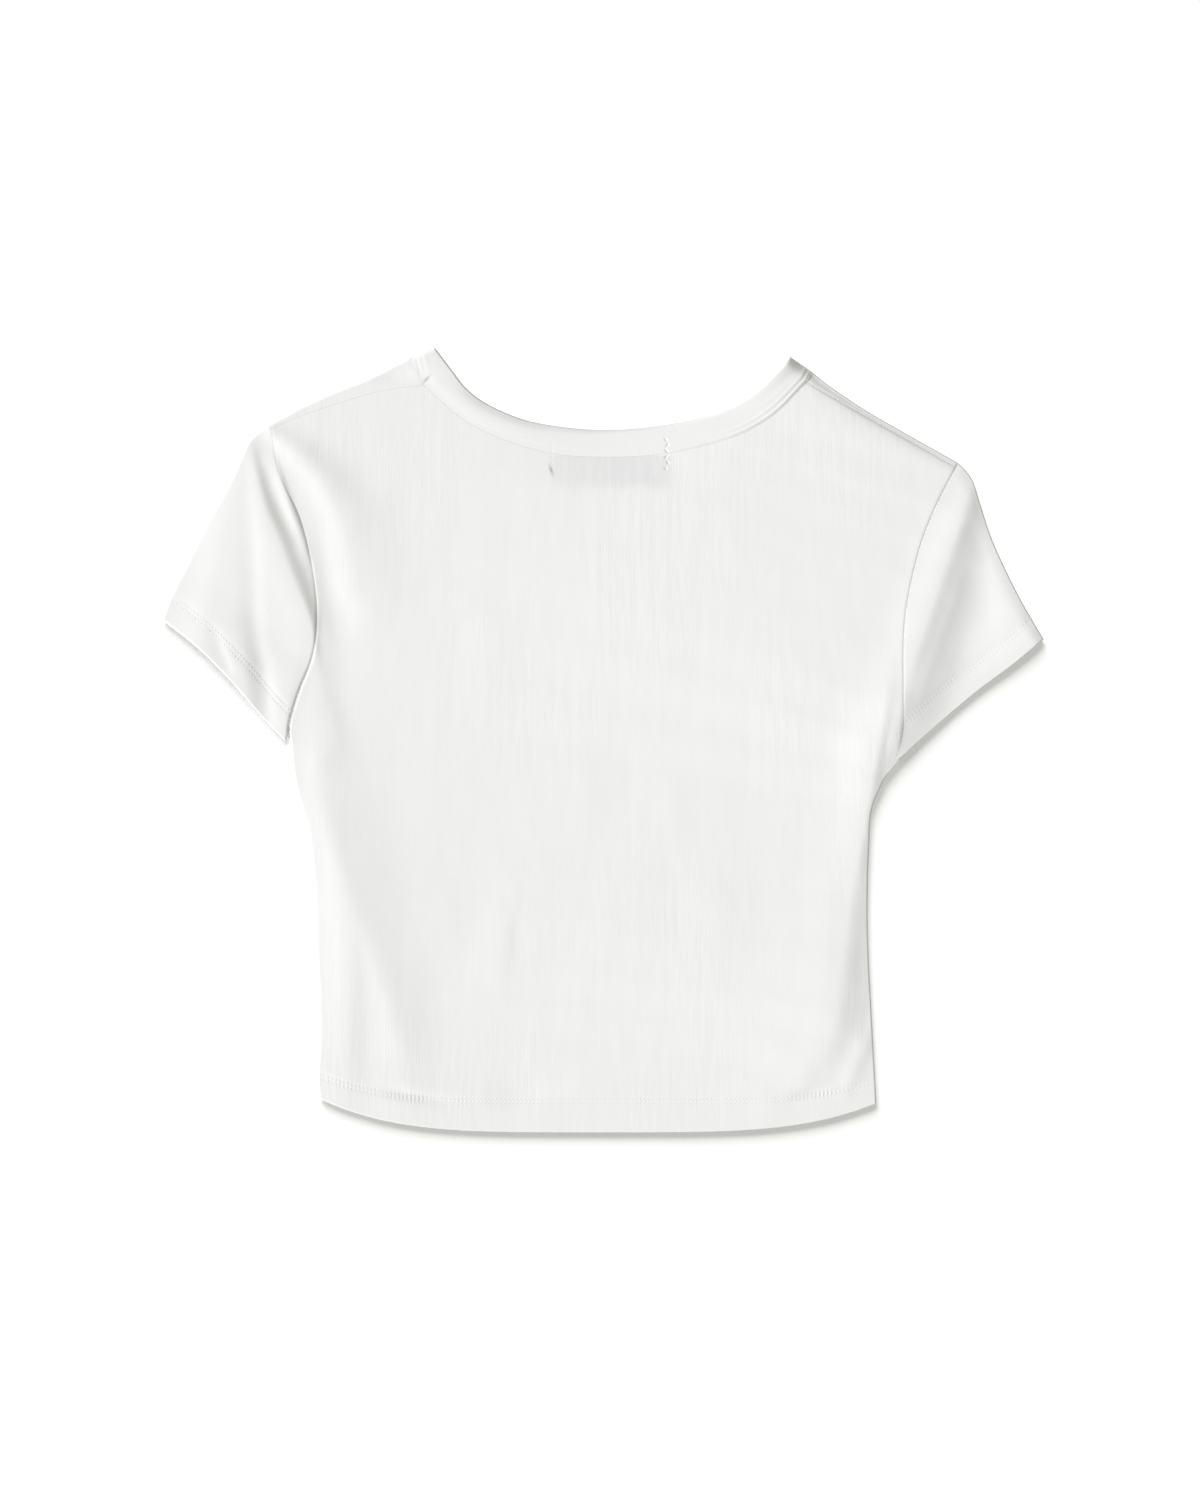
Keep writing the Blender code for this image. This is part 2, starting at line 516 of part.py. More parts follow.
# ================================================================ sleeves
def add_sleeve(side):
    """A sleeve: a flattened tube of rings from the armhole to the cuff."""
    armhole = np.vstack([armhole_points(side)[1:], ARMHOLE_PATH[side][-1]])
    cuff_length = lengths(CUFF_PATH[side])[-1]
    up_cuff = shares(armhole[:-1]) * (cuff_length - SHOULDER_SEAM_BEHIND)
    cuff = along(CUFF_PATH[side], np.append(up_cuff, cuff_length))
    ring_share = np.array(SLEEVE_RINGS)
    underarm = armhole[0] + (cuff[0] - armhole[0]) * ring_share[:, None]
    fold = along(SLEEVE_PATH[side], ring_share * lengths(SLEEVE_PATH[side])[-1])
    plan = stretch(armhole, cuff, underarm, fold)
    plan[0] += unit(plan[1] - plan[0]) * SEAM_GAP / 2.0
    wide, inward, turn = add_edge_columns(plan, np.zeros(len(plan)))
    from_cuff = nearest(CUFF_PATH[side], wide[..., 0], wide[..., 1])[0]
    thickness = WALL + (HEM_WALL - WALL) * hem_share(from_cuff, SLEEVE_HEM_DEPTH)
    above, above_inside = wall_points(wide, inward, turn, True, thickness, FOLD_LEVEL)
    below, below_inside = wall_points(wide, inward, turn, False, thickness, FOLD_LEVEL)
    above[-1, :, 2] -= ROUNDING * np.sin(turn[-1])
    outer = np.concatenate([above, below[:, -2:0:-1]], axis=1)
    inner = np.concatenate([above_inside, below_inside[:, -2:0:-1]], axis=1)
    quads = net_quads(np.ones((outer.shape[0] - 1, outer.shape[1]), bool), closed=True)
    if side == "right":
        quads = quads[:, ::-1]
    add_wall("sleeve_" + side, outer, inner, quads, SLEEVE_WHITE)


# ================================================================ neck binding
def binding_turn(side, seam_end, edge_end):
    """Stations of the binding over one shoulder fold, from the upper run down to the lower one.

    Gives the sewn and free side of each station, its direction into the cloth at both sides, the
    roll angle, and whether it lies above the fold.
    """
    seam_fold = along(SHOULDER_PATH[side], [BINDING_ON_FOLD])[0]
    edge_fold = SHOULDER_PATH[side][0]
    angles = np.radians(ROLL_ANGLES)
    turn = np.concatenate([angles[::-1], angles[1:]])
    inset = (BINDING_LEVEL * (1.0 - np.cos(turn)))[:, None]
    into_seam = unit(seam_end - seam_fold)
    into_edge = unit(edge_end - edge_fold)
    upper = np.arange(len(turn)) < len(angles)
    return seam_fold + into_seam * inset, edge_fold + into_edge * inset, turn, upper


def binding_inward(shape, across):
    """Direction into the cloth for every point of the binding; it only counts on the two turns."""
    back_seam, back_edge = back_neck()
    inward = np.zeros((*shape, 2))
    half = shape[0] // 2
    for side, end, rows in (("right", -1, slice(0, half + NECK_COLUMNS // 2)),
                            ("left", 0, slice(half + NECK_COLUMNS // 2, shape[0]))):
        into_seam = unit(back_seam[end] - along(SHOULDER_PATH[side], [BINDING_ON_FOLD])[0])
        into_edge = unit(back_edge[end] - SHOULDER_PATH[side][0])
        inward[rows] = unit(into_seam * (1.0 - across) + into_edge * across)
    return inward


def add_binding():
    """The neck binding: a folded band round the neck that turns over both shoulder folds."""
    back_seam, back_edge = back_neck()
    front_seam, front_edge = front_neck()
    right = binding_turn("right", back_seam[-1], back_edge[-1])
    left = binding_turn("left", back_seam[0], back_edge[0])
    flat = np.full(NECK_COLUMNS + 1, math.pi / 2.0)
    above = np.ones(NECK_COLUMNS + 1, bool)
    seam = np.vstack([back_seam, right[0], front_seam[::-1], left[0][::-1]])
    edge = np.vstack([back_edge, right[1], front_edge[::-1], left[1][::-1]])
    turn = np.concatenate([flat, right[2], flat, left[2][::-1]])
    upper = np.concatenate([above, right[3], ~above, left[3][::-1]])
    seam = seam + unit(edge - seam) * SEAM_GAP / 2.0
    across = np.array(BINDING_SHARES)[None, :, None]
    plan = seam[:, None] * (1.0 - across) + edge[:, None] * across
    shape = plan.shape[:2]
    thickness = BINDING_EDGE + (BINDING_WALL - BINDING_EDGE) * np.array(BINDING_SWELL)
    thickness = np.broadcast_to(thickness, shape)
    inward = binding_inward(shape, across)
    outer, inner = wall_points(plan, inward, np.broadcast_to(turn[:, None], shape),
                               np.broadcast_to(upper[:, None], shape), thickness, BINDING_LEVEL,
                               extra=thickness - WALL)
    ring = np.concatenate([outer, inner[:, ::-1]], axis=1)
    stations, around = ring.shape[:2]
    quads = net_quads(np.ones((stations, around), bool), closed=True) % (stations * around)
    add_object("neck_binding", ring.reshape(-1, 3), quads[:, ::-1], BINDING_WHITE)


# ================================================================ the shirt
for leftover in list(bpy.data.objects):
    bpy.data.objects.remove(leftover, do_unlink=True)

add_back()
add_front()
for sleeve_side in SIDES:
    add_sleeve(sleeve_side)
add_binding()
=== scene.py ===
"""Looks of the cropped T-shirt: white rib knit, laid flat on its front with the back uppermost.

Every piece is a thin knit shell on the form of its solid: a net of points is drawn in plan as a
patch stretched between sewn, folded and hemmed edges, and gets its heights from two functions of
plan, top_height() for the upper layer and bottom_height() for the one that lies on the surface.
Sewing is small threads laid on those surfaces.  Metres, X across, Y from hem to neck, Z up.
"""
import math
from collections import namedtuple

import bpy
import numpy as np
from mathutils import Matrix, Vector


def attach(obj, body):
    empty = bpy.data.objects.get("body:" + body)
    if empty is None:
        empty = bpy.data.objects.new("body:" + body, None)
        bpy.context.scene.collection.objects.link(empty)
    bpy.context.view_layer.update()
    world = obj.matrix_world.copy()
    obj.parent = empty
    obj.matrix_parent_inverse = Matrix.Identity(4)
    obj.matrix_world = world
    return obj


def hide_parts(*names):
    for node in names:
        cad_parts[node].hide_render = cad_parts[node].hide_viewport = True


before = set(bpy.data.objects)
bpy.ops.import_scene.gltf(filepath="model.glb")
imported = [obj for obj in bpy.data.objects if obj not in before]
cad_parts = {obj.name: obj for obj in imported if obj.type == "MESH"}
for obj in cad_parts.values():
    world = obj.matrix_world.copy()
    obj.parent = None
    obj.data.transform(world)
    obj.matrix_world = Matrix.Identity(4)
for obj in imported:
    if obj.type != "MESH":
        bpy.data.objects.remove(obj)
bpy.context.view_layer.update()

# ---------------------------------------------------------------- cloth thickness and heights
WALL = 0.0010                # one layer of knit,
HEM_WALL = 0.0012            # the same where a hem is turned up,
BINDING_WALL = 0.0013        # and the neck binding
AIR = 0.0006                 # between the two layers
SEAM_GAP = 0.00005           # between two sewn edges
FOLD_RADIUS = 0.0011         # of a folded edge's roll, in plan
FOLD_LEVEL = 0.0020          # height of a fold's outermost line, at least,
FOLD_DROP = 0.0006           # and how far it is at most below the upper face beside it
BINDING_LIFT = 0.0014        # room in the binding's turn over a shoulder fold
BINDING_LEVEL = (WALL + AIR + BINDING_LIFT + BINDING_WALL) / 2.0
LOWEST_TOP = 2.0 * WALL + 0.6 * AIR   # the upper layer never comes down further than this,
TOP_SOFTNESS = 0.00025                # and eases into it over about so much

# ---------------------------------------------------------------- hems
HEM_DEPTH = 0.0154
SLEEVE_HEM_DEPTH = 0.0160
HEM_STEP = 0.0015            # width of the step where a hem's thickness ends
HEM_SLOPE = 0.0200           # over which the upper layer comes down past a hem,
HEM_LIFT = 0.0003            # from so much higher
FRONT_SHORTER = 0.0010       # the front's hem lies this much above the back's
HEM_LOWEST = -0.2080         # y of the hem in its middle,
HEM_RISE_LEFT = 0.0180       # and how much higher its two ends are
HEM_RISE_RIGHT = 0.0153
EDGE_ROUND = 0.0004          # radius of a hem's edge,
BINDING_ROUND = 0.0010       # and of the binding's free edge,
BINDING_ROUND_MOST = 0.45 * BINDING_WALL   # which takes no more than this off either face
STITCH_ROWS = (0.0136, 0.0112)       # the two needle rows of a hem, from its edge
ROW_MIDDLE = sum(STITCH_ROWS) / 2.0
HEM_BOW = 0.0042             # how much further up they are in the middle of the body
FAR_FROM_HEM = 1.0           # stands for any place where no hem is near
STITCH_PITCH = 0.0021
STITCH_TRENCH = 0.00008      # how deep a needle row is drawn in, and how far to either side
STITCH_TRENCH_REACH = 0.0009

# ---------------------------------------------------------------- outline, seams and folds in plan
Point = namedtuple("Point", "x y")
SIDES = ("left", "right")

SIDE_FOLD = {
    "left": [Point(-0.1505, -0.1900), Point(-0.1514, -0.1820), Point(-0.1504, -0.1520),
             Point(-0.1520, -0.1100), Point(-0.1536, -0.0720), Point(-0.1570, -0.0460),
             Point(-0.1632, -0.0240), Point(-0.1664, 0.0038)],
    "right": [Point(0.1442, -0.1927), Point(0.1424, -0.1578), Point(0.1400, -0.1110),
              Point(0.1396, -0.0877), Point(0.1404, -0.0568), Point(0.1420, -0.0366),
              Point(0.1482, -0.0212)],
}
ARMHOLE = {
    "left": [Point(-0.1664, 0.0038), Point(-0.1658, 0.0090), Point(-0.1614, 0.0241),
             Point(-0.1545, 0.0424), Point(-0.1520, 0.0600), Point(-0.1530, 0.0816),
             Point(-0.1605, 0.1163), Point(-0.1720, 0.1418), Point(-0.1767, 0.1666)],
    "right": [Point(0.1482, -0.0212), Point(0.1532, -0.0120), Point(0.1576, 0.0000),
              Point(0.1584, 0.0260), Point(0.1586, 0.0500), Point(0.1602, 0.0693),
              Point(0.1674, 0.1011), Point(0.1753, 0.1217), Point(0.1878, 0.1462)],
}
SHOULDER_FOLD = {
    "left": [Point(-0.0896, 0.2075), Point(-0.0938, 0.2062), Point(-0.1092, 0.1985),
             Point(-0.1250, 0.1905), Point(-0.1447, 0.1826), Point(-0.1622, 0.1746),
             Point(-0.1767, 0.1666)],
    "right": [Point(0.0986, 0.2027), Point(0.1090, 0.1955), Point(0.1178, 0.1884),
              Point(0.1388, 0.1742), Point(0.1569, 0.1637), Point(0.1878, 0.1462)],
}
SLEEVE_FOLD = {
    "left": [Point(-0.1767, 0.1666), Point(-0.1870, 0.1587), Point(-0.1910, 0.1508),
             Point(-0.1982, 0.1349), Point(-0.2072, 0.1190), Point(-0.2194, 0.0950),
             Point(-0.2310, 0.0713), Point(-0.2337, 0.0633)],
    "right": [Point(0.1878, 0.1462), Point(0.1944, 0.1384), Point(0.1991, 0.1249),
              Point(0.2055, 0.1058), Point(0.2198, 0.0756), Point(0.2328, 0.0530)],
}
CUFF = {
    "left": [Point(-0.1686, -0.0006), Point(-0.1790, 0.0098), Point(-0.1966, 0.0300),
             Point(-0.2150, 0.0485), Point(-0.2337, 0.0633)],
    "right": [Point(0.1552, -0.0114), Point(0.1706, 0.0025), Point(0.1959, 0.0240),
              Point(0.2182, 0.0407), Point(0.2328, 0.0530)],
}
SHOULDER_SEAM = {
    "left": [Point(-0.0954, 0.1874), Point(-0.1155, 0.1849), Point(-0.1463, 0.1760),
             Point(-0.1640, 0.1694)],
    "right": [Point(0.1073, 0.1891), Point(0.1218, 0.1807), Point(0.1394, 0.1705),
              Point(0.1632, 0.1571)],
}
HEM_LEFT, HEM_RIGHT = (SIDE_FOLD[side][0].x for side in SIDES)
UNDERARM_START = 0.0032          # how far up the armhole the sleeve begins
SHOULDER_SEAM_BEHIND = 0.0026    # how far short of the armhole's top the shoulder seam ends
BINDING_ON_FOLD = 0.0143         # how much of the shoulder fold is the binding's

Crossing = namedtuple("Crossing", "seam_x seam_y edge_x edge_y")
BACK_NECK = [
    Crossing(-0.0954, 0.1874, -0.0802, 0.1952), Crossing(-0.0843, 0.1773, -0.0737, 0.1868),
    Crossing(-0.0731, 0.1683, -0.0636, 0.1787), Crossing(-0.0500, 0.1576, -0.0430, 0.1696),
    Crossing(-0.0240, 0.1510, -0.0200, 0.1653), Crossing(0.0032, 0.1495, 0.0020, 0.1640),
    Crossing(0.0300, 0.1510, 0.0280, 0.1660), Crossing(0.0540, 0.1558, 0.0500, 0.1703),
    Crossing(0.0750, 0.1627, 0.0680, 0.1770), Crossing(0.0914, 0.1730, 0.0815, 0.1858),
    Crossing(0.1073, 0.1891, 0.0945, 0.1980),
]
FRONT_SEAM_DROP = 0.0905     # depth of the front neck below its ends, at the binding's seam
FRONT_EDGE_DROP = 0.0845     # and at its free edge

# ---------------------------------------------------------------- creases
# A crease is a soft ridge, or a trough where its rise is below 0, along a line that is drawn
# upwards from the hem.  Its rise, and its reach to the left and to the right, are each given at a
# few evenly spaced places along the line.  All of it is in millimetres.
Crease = namedtuple("Crease", "rise left right line")
LONG_RIDGE = [(-105, -186), (-107, -166), (-111, -150), (-115.5, -134), (-121, -117), (-127, -99),
              (-133.5, -80), (-139.5, -62), (-144.5, -46), (-148, -30), (-150, -14)]
SLEEVE_SWELL = [(-153.5, 50), (-155.5, 62), (-159, 72), (-163, 81), (-167, 91), (-170.5, 101),
                (-174.5, 111), (-178.5, 120), (-181.5, 130), (-184, 140)]
TOP_CREASES = [
    # back, left side: the long ridge from the hem to the armhole, falling gently to the middle,
    # with a sharper crest
    Crease((0.4, 0.9, 1.1, 1.2, 1.0, 0.6), (20, 20, 18, 15, 12, 9), (14, 18, 24, 26, 24, 20),
           LONG_RIDGE),
    Crease((0.1, 0.2, 0.25, 0.25, 0.2, 0.1), (7,), (8,), LONG_RIDGE),
    Crease((0.3, 0.7, 0.7, 0.5, 0.1), (11,), (8,),
           [(-138, -190), (-136, -160), (-136, -120), (-140, -90), (-146, -64)]),
    Crease((0.1, 0.35, 0.45, 0.45, 0.1), (12,), (7,),
           [(-143, -14), (-143, 2), (-148, 18), (-151, 32), (-153, 46)]),
    # back, from the left shoulder point down into the panel, with a trough between it and the seam
    Crease((0.1, 0.5, 0.8, 1.1, 1.2, 1.1, 0.6), (10, 10, 10, 10, 9, 8, 4), (24, 24, 22, 18, 12, 8, 5),
           [(-113, 58), (-122, 70), (-129, 82), (-132, 95), (-135, 107), (-139, 118), (-144, 129),
            (-150, 139), (-157, 147), (-166, 155), (-175, 162)]),
    Crease((-0.1, -0.3, -0.6, -0.5, -0.2, -0.1), (6, 6, 5, 5, 4, 3), (10, 10, 8, 6, 5, 4),
           [(-138, 28), (-139, 48), (-142, 64), (-145, 76), (-148, 92), (-152, 110)]),
    # back, right side: from the hem corner along the side fold to the armhole
    Crease((0.3, 0.8, 0.9, 0.6, 0.4, 0.45, 0.6, 0.7, 0.9, 0.9, 0.3),
           (34, 34, 34, 32, 30, 28, 24, 20, 18, 16, 12), (11, 12, 12, 11, 9, 7, 4.5, 4, 4.2, 4.4, 5),
           [(92, -190), (103, -176), (114, -163), (121, -150), (125.5, -134), (128, -112), (130, -88),
            (133.5, -68), (137.5, -48), (140.5, -28), (144, -10), (147, 8), (149, 22), (150, 36)]),
    Crease((0.2, 0.2, 0.4, 0.9, 1.5, 1.65, 1.3, 0.9, 0.8, 0.9, 1.6, 2.5, 2.9, 2.8, 2.55, 2.35, 1.95,
            1.5, 0.8),
           (200,), (14, 14, 14, 14, 13, 11, 10, 10, 11, 12, 15, 19, 21, 20, 18, 17, 14.5, 11, 8),
           [(109, -222), (112, -204), (115, -184), (118, -164), (121, -144), (124, -124), (127, -104),
            (130, -84), (133.5, -62), (138, -40), (142.5, -20), (148, -1), (154, 16), (160.5, 34),
            (167, 53), (174, 73), (181, 94), (188, 114), (195, 136)]),
    Crease((0.0, 0.2, 0.2, 0.0), (12,), (10,), [(112, -156), (116, -122), (119, -88), (122, -54)]),
    Crease((0.2, 0.5, 0.5, 0.0), (6,), (4.5,), [(128, -186), (132.5, -174), (137.5, -162), (141, -152)]),
    # back, fanning out of the right underarm
    Crease((0.05, 0.4, 0.05), (1.4,), (1.6,), [(149.5, -14), (153, 0), (155.5, 14)]),
    Crease((0.05, 0.35, 0.05), (1.2,), (1.4,), [(153.5, -10), (156.2, 2), (157, 14)]),
    # back, slight ones in the middle of the panel and along the hem
    Crease((0.0, 0.22, 0.0), (12,), (8,), [(-58, -150), (-55, -112), (-52, -74)]),
    Crease((0.0, -0.12, 0.0), (5,), (5,), [(-46, -128), (-46, -100), (-48, -80)]),
    Crease((0.0, 0.15, 0.0), (12,), (9,), [(-14, -70), (-10, -20), (-12, 24)]),
    Crease((0.0, 0.15, 0.0), (10,), (8,), [(34, -66), (37, -40), (36, -10)]),
    Crease((0.0, -0.12, 0.0), (6,), (8,), [(12, -48), (14, -20), (11, 6)]),
    Crease((0.0, 0.20, 0.0), (14,), (14,), [(66, -120), (62, -84), (60, -50)]),
    Crease((0.0, 0.20, 0.0), (14,), (10,), [(-88, -128), (-84, -96), (-82, -60)]),
    Crease((0.0, 0.15, 0.0), (12,), (10,), [(-62, 8), (-58, 44), (-60, 84)]),
    Crease((-0.1, -0.6, -0.2), (10, 9, 7), (6,), [(-66, -191), (-44, -188), (-22, -183)]),
    Crease((-0.1, -0.5, -0.4, -0.1), (3,), (4,), [(-122, -184), (-108, -187), (-92, -190), (-72, -192)]),
    Crease((-0.1, -0.5, -0.1), (3,), (3,), [(94, -191), (108, -187.5), (124, -183)]),
    # left neck corner: small ridges gathered where the binding turns over, then two small troughs
    Crease((0.02, 0.08, 0.06), (0.8,), (0.8,), [(-101.0, 191), (-102.0, 195), (-103.2, 198.5)]),
    Crease((0.02, 0.08, 0.07), (0.8,), (0.8,), [(-98.5, 191.5), (-99.2, 196), (-100.6, 200.5)]),
    Crease((0.02, 0.07, 0.06), (0.8,), (0.8,), [(-96.0, 193), (-96.8, 197), (-98.0, 202.2)]),
    Crease((0.02, 0.05, 0.06), (0.8,), (0.8,), [(-93.4, 195), (-94.0, 199), (-95.2, 203.6)]),
    Crease((-0.05, -0.12, -0.05), (0.6,), (3.0,), [(-96, 188.2), (-93.8, 190.6), (-91.5, 193)]),
    Crease((-0.2, -0.5, -0.3), (2.6,), (3,), [(-119, 192), (-111, 192.5), (-104, 193)]),
    # right neck corner: the crest the cloth falls from towards the fold
    Crease((0.0, 0.6, 1.6, 1.4), (20,), (7.5,), [(106, 186), (102, 191), (97, 197), (91, 205)]),
    # left sleeve: the swell with a steep side towards the armhole, and a narrow one by the seam
    Crease((0.4, 0.9, 1.1, 1.1, 1.0, 0.7, 0.3), (24, 30, 34, 34, 30, 20, 8),
           (2.5, 4.5, 6.5, 6.5, 5.5, 4, 2.5), [*SLEEVE_SWELL, (-186, 152)]),
    Crease((0.2, 0.5, 0.6, 0.6, 0.6, 0.4, 0.1), (12,), (2.5, 4.5, 6, 6, 5, 4, 2.5),
           [*SLEEVE_SWELL, (-186, 150)]),
    Crease((0.0, 0.5, 0.8, 0.6, 0.2), (4,), (1.8,),
           [(-155.5, 88), (-158, 100), (-161.5, 112), (-166, 124), (-170.5, 136), (-174.5, 148)]),
    # left sleeve: the valley down its middle to the cuff, and a small one beside it
    Crease((-0.5, -0.55, -0.45, -0.3, -0.22, -0.1), (6, 6, 6, 6, 6, 5), (5, 5, 5, 4.5, 4.5, 4),
           [(-179, 6), (-179.5, 24), (-181.5, 40), (-185, 56), (-186, 90), (-187.5, 120), (-190, 142)]),
    Crease((0.3, 0.7, 0.9, 0.5, 0.1), (30,), (9,),
           [(-188, 8), (-190, 24), (-191, 38), (-191, 52), (-190, 68)]),
    Crease((0.2, 0.4, 0.4, 0.1), (13,), (3, 4, 6, 7), [(-169, 6), (-168, 18), (-165, 32), (-162, 48)]),
    Crease((-0.3, -0.3, 0.0), (5,), (2.5,), [(-199, 38), (-203, 48), (-208, 62)]),
    Crease((0.7, 0.9, 0.9, 0.4), (14,), (40,), [(-214, 46), (-205, 80), (-199, 112), (-192, 140)]),
    # right sleeve: two crests with a deep valley between them
    Crease((0.0, 0.3, 0.35, 0.0), (5,), (5,), [(150, -6), (153, 4), (157, 16), (160, 28)]),
    Crease((0.2, 0.6, 0.8, 0.9, 0.9, 0.9, 0.3), (8, 10, 12, 13, 12, 10, 6), (8, 8, 7, 7, 7, 6, 5),
           [(152, 4), (157.5, 24), (163.5, 43), (170, 62), (176.5, 81), (182.5, 98), (188.5, 115),
            (193.5, 130)]),
    Crease((0.1, 0.2, 0.2, 0.1), (4,), (4,), [(164, 12), (171, 35), (180, 60), (187, 80), (194, 104)]),
    Crease((-0.2, -0.35, -0.4, -0.3, 0.0), (8,), (9,),
           [(172, 0), (181.5, 20), (188, 38), (194, 58), (199, 76), (202, 90)]),
    Crease((1.0, 0.7, 0.5, 0.4, 0.15), (24, 15, 9, 6, 4), (8,),
           [(226, 51), (220, 60), (215, 70), (211, 80), (208, 91), (204, 103)]),
]
BOTTOM_CREASES = [
    # front, which lies on the surface: shallow troughs much like the back's
    Crease((0.1, 0.3, 0.1), (12,), (5,), [(-104, -170), (-118, -110), (-134, -60), (-143, 0)]),
    Crease((0.1, 0.3, 0.1), (6,), (10,), [(112, -160), (124, -90), (130, -30), (143, 20)]),
    Crease((0.1, 0.25, 0.1), (4,), (6,), [(-20, -150), (-12, -80), (-18, -20)]),
    Crease((0.1, 0.25, 0.1), (7,), (4,), [(52, -120), (60, -50), (56, 30)]),
    Crease((0.1, 0.3, 0.1), (5,), (4,), [(-190, 20), (-186, 70), (-184, 120)]),
    Crease((0.1, 0.3, 0.1), (4,), (6,), [(182, 30), (190, 70), (196, 110)]),
]
CREASE_END = 0.018           # the furthest a crease fades past its line's ends
NECK_SAG = 0.0008            # how far the middle of the back neck is let down
SAG_CENTRE = Point(0.0050, 0.1580)
SAG_REACH = Point(0.0750, 0.0320)

# ---------------------------------------------------------------- folded edges and seams
# How far the cloth stands up inside a fold, and how far it falls again right beside it.
# Both are in millimetres at evenly spaced places along the fold.
FOLD_LIFT_REACH = {"side": 0.012, "shoulder": 0.036, "sleeve": 0.012}
FOLD_FALL_REACH = {"side": 0.0032, "shoulder": 0.0028, "sleeve": 0.0022}
FOLD_FALL_SHAPE = 1.3        # power of the falloff: nearly straight down from the fold
FOLD_LIFT = {"side": {"left": (0.2,), "right": (0.2,)},
             "shoulder": {"left": (0.3,), "right": (1.4, 1.1, 0.9, 0.7)},
             "sleeve": {"left": (0.2,), "right": (0.2, 0.0, 0.2, 0.4)}}
FOLD_FALL = {"side": {"left": (0.0,), "right": (0.1, 0.0)},
             "shoulder": {"left": (0.0,), "right": (1.6, 1.3, 1.1, 0.8)},
             "sleeve": {"left": (0.0,), "right": (0.4, 0.1, 0.25)}}
# How deep the cloth turns down into a seam, in millimetres, at evenly spaced places along it, to
# the left and to the right of the seam as its line is drawn.
Dips = namedtuple("Dips", "left right")
ARMHOLE_DEPTH = {"left": Dips((0.8, 0.7, 0.28, 0.16, 0.12, 0.08, 0.06, 0.03),
                              (0.1, 0.15, 0.20, 0.16, 0.12, 0.10, 0.06, 0.0)),
                 "right": Dips((0.0, 0.02, 0.14, 0.22, 0.28, 0.34, 0.38, 0.40),
                               (0.0, 0.02, 0.08, 0.05, 0.0, 0.0, 0.0, 0.0))}
SHOULDER_DEPTH = {"left": Dips((0.0, 0.04, 0.05), (0.0, 0.03, 0.05)),
                  "right": Dips((0.09, 0.08, 0.06), (0.20, 0.16, 0.14))}
NECK_DEPTH = Dips((0.0, 0.0, 0.02, 0.06, 0.11, 0.17, 0.22, 0.24),
                  (0.0, 0.0, 0.02, 0.05, 0.03, 0.0, 0.0, 0.0))
SEAM_REACH = 0.0005          # of the dip to either side, and so much more for each metre of depth
SEAM_REACH_GAIN = 0.75
OUTER_DIP = 0.00045          # the part of a dip that is only in the outer face
BINDING_RIDGES = ((0.0014, 0.0005), (0.0040, 0.0006))   # from the seam: place and reach
BINDING_RIDGE_RISE = (0.0, 0.01, 0.03, 0.03, 0.03, 0.06, 0.15, 0.20)   # along the back, in mm
BINDING_ROLL = (0.1, 0.7, 0.9, 0.9, 0.9, 0.9, 0.8, 0.3)   # fall to its free edge, in mm,
BINDING_ROLL_REACH = (3.0, 3.0, 2.6, 1.7, 1.2, 1.1, 1.0, 1.0)   # and how far in it begins
BINDING_ROLL_FLAT = 8        # power that leaves this fall out where the binding turns over
BINDING_STEP = (0.0, 0.0, 0.0, 0.3, 0.8, 1.0, 1.0, 1.0)   # share of its swell that starts at the
BINDING_SWELL_REACH = 0.0080                              # seam; the rest comes over this reach

# ---------------------------------------------------------------- how finely the nets are cut
ROLL_ANGLES = [0.0, 12.0, 24.0, 37.0, 50.0, 64.0, 77.0, 90.0]
PAST_ROLL = [0.0018, 0.0028]              # two more columns just inside the roll
SKIPPED_COLUMNS = 2                       # evenly spaced ones that would lie under those
PATH_STEPS = 10                           # from one point of an outline to the next,
CREASE_STEPS = 6                          # and of a crease's line
BOW_FALLOFF = 6                           # power with which the bow of a side fades inwards
CELL = 0.00195                            # side of a net's cell, about
HEM_ROWS = [0.0, 0.00012, 0.0003, 0.0006, 0.0011, 0.0020, 0.0034, 0.0050, 0.0066, 0.0080, 0.0092,
            *(0.0100 + 0.00055 * row for row in range(18)), 0.0204, 0.0216, 0.0232, 0.0250]
TOP_INSETS = [0.0042, 0.0031, 0.0023, 0.0017, 0.0012, 0.0008, 0.0004, 0.0]
SIDE_ROWS = 92
ARMHOLE_ROWS = 88                         # at least
STRIP_ROWS = 6
SHOULDER_COLUMNS = 38
NECK_COLUMNS = 106
SLEEVE_RINGS = 62
SLEEVE_END_RINGS = (0.006, 0.012, 0.990, 0.995)   # shares of its length where more are put in
SLEEVE_COLUMNS = 92
BINDING_ACROSS = 34
BINDING_BRIDGE = 12
SHARP_ANGLE = math.radians(55.0)

# ---------------------------------------------------------------- camera, light and floor
VIEW_CENTRE = Point(-0.0021, -0.0056)
VIEW_HEIGHT = 0.795          # what the frame covers along Y at the shirt
LENS = 100.0
SENSOR = 36.0
KEY_FROM = (-0.907, -0.110, 0.407)    # low over the shirt's left side
KEY_STRENGTH = 5.02
KEY_COLOUR = (0.96, 0.96, 1.0)
KEY_ANGLE = math.radians(18.0)
FLOOR_LIGHT_FROM = (-0.27, 0.83, 0.45)
FLOOR_LIGHT_STRENGTH = 4.15
FLOOR_LIGHT_ANGLE = math.radians(40.0)
AMBIENT_STRENGTH = 0.404
AMBIENT = (1.0, 1.0, 0.94)
FLOOR_GLOW = 0.17
FLOOR_SIZE = 4.0
FLOOR_BELOW = 0.0001         # how far it is under the shirt


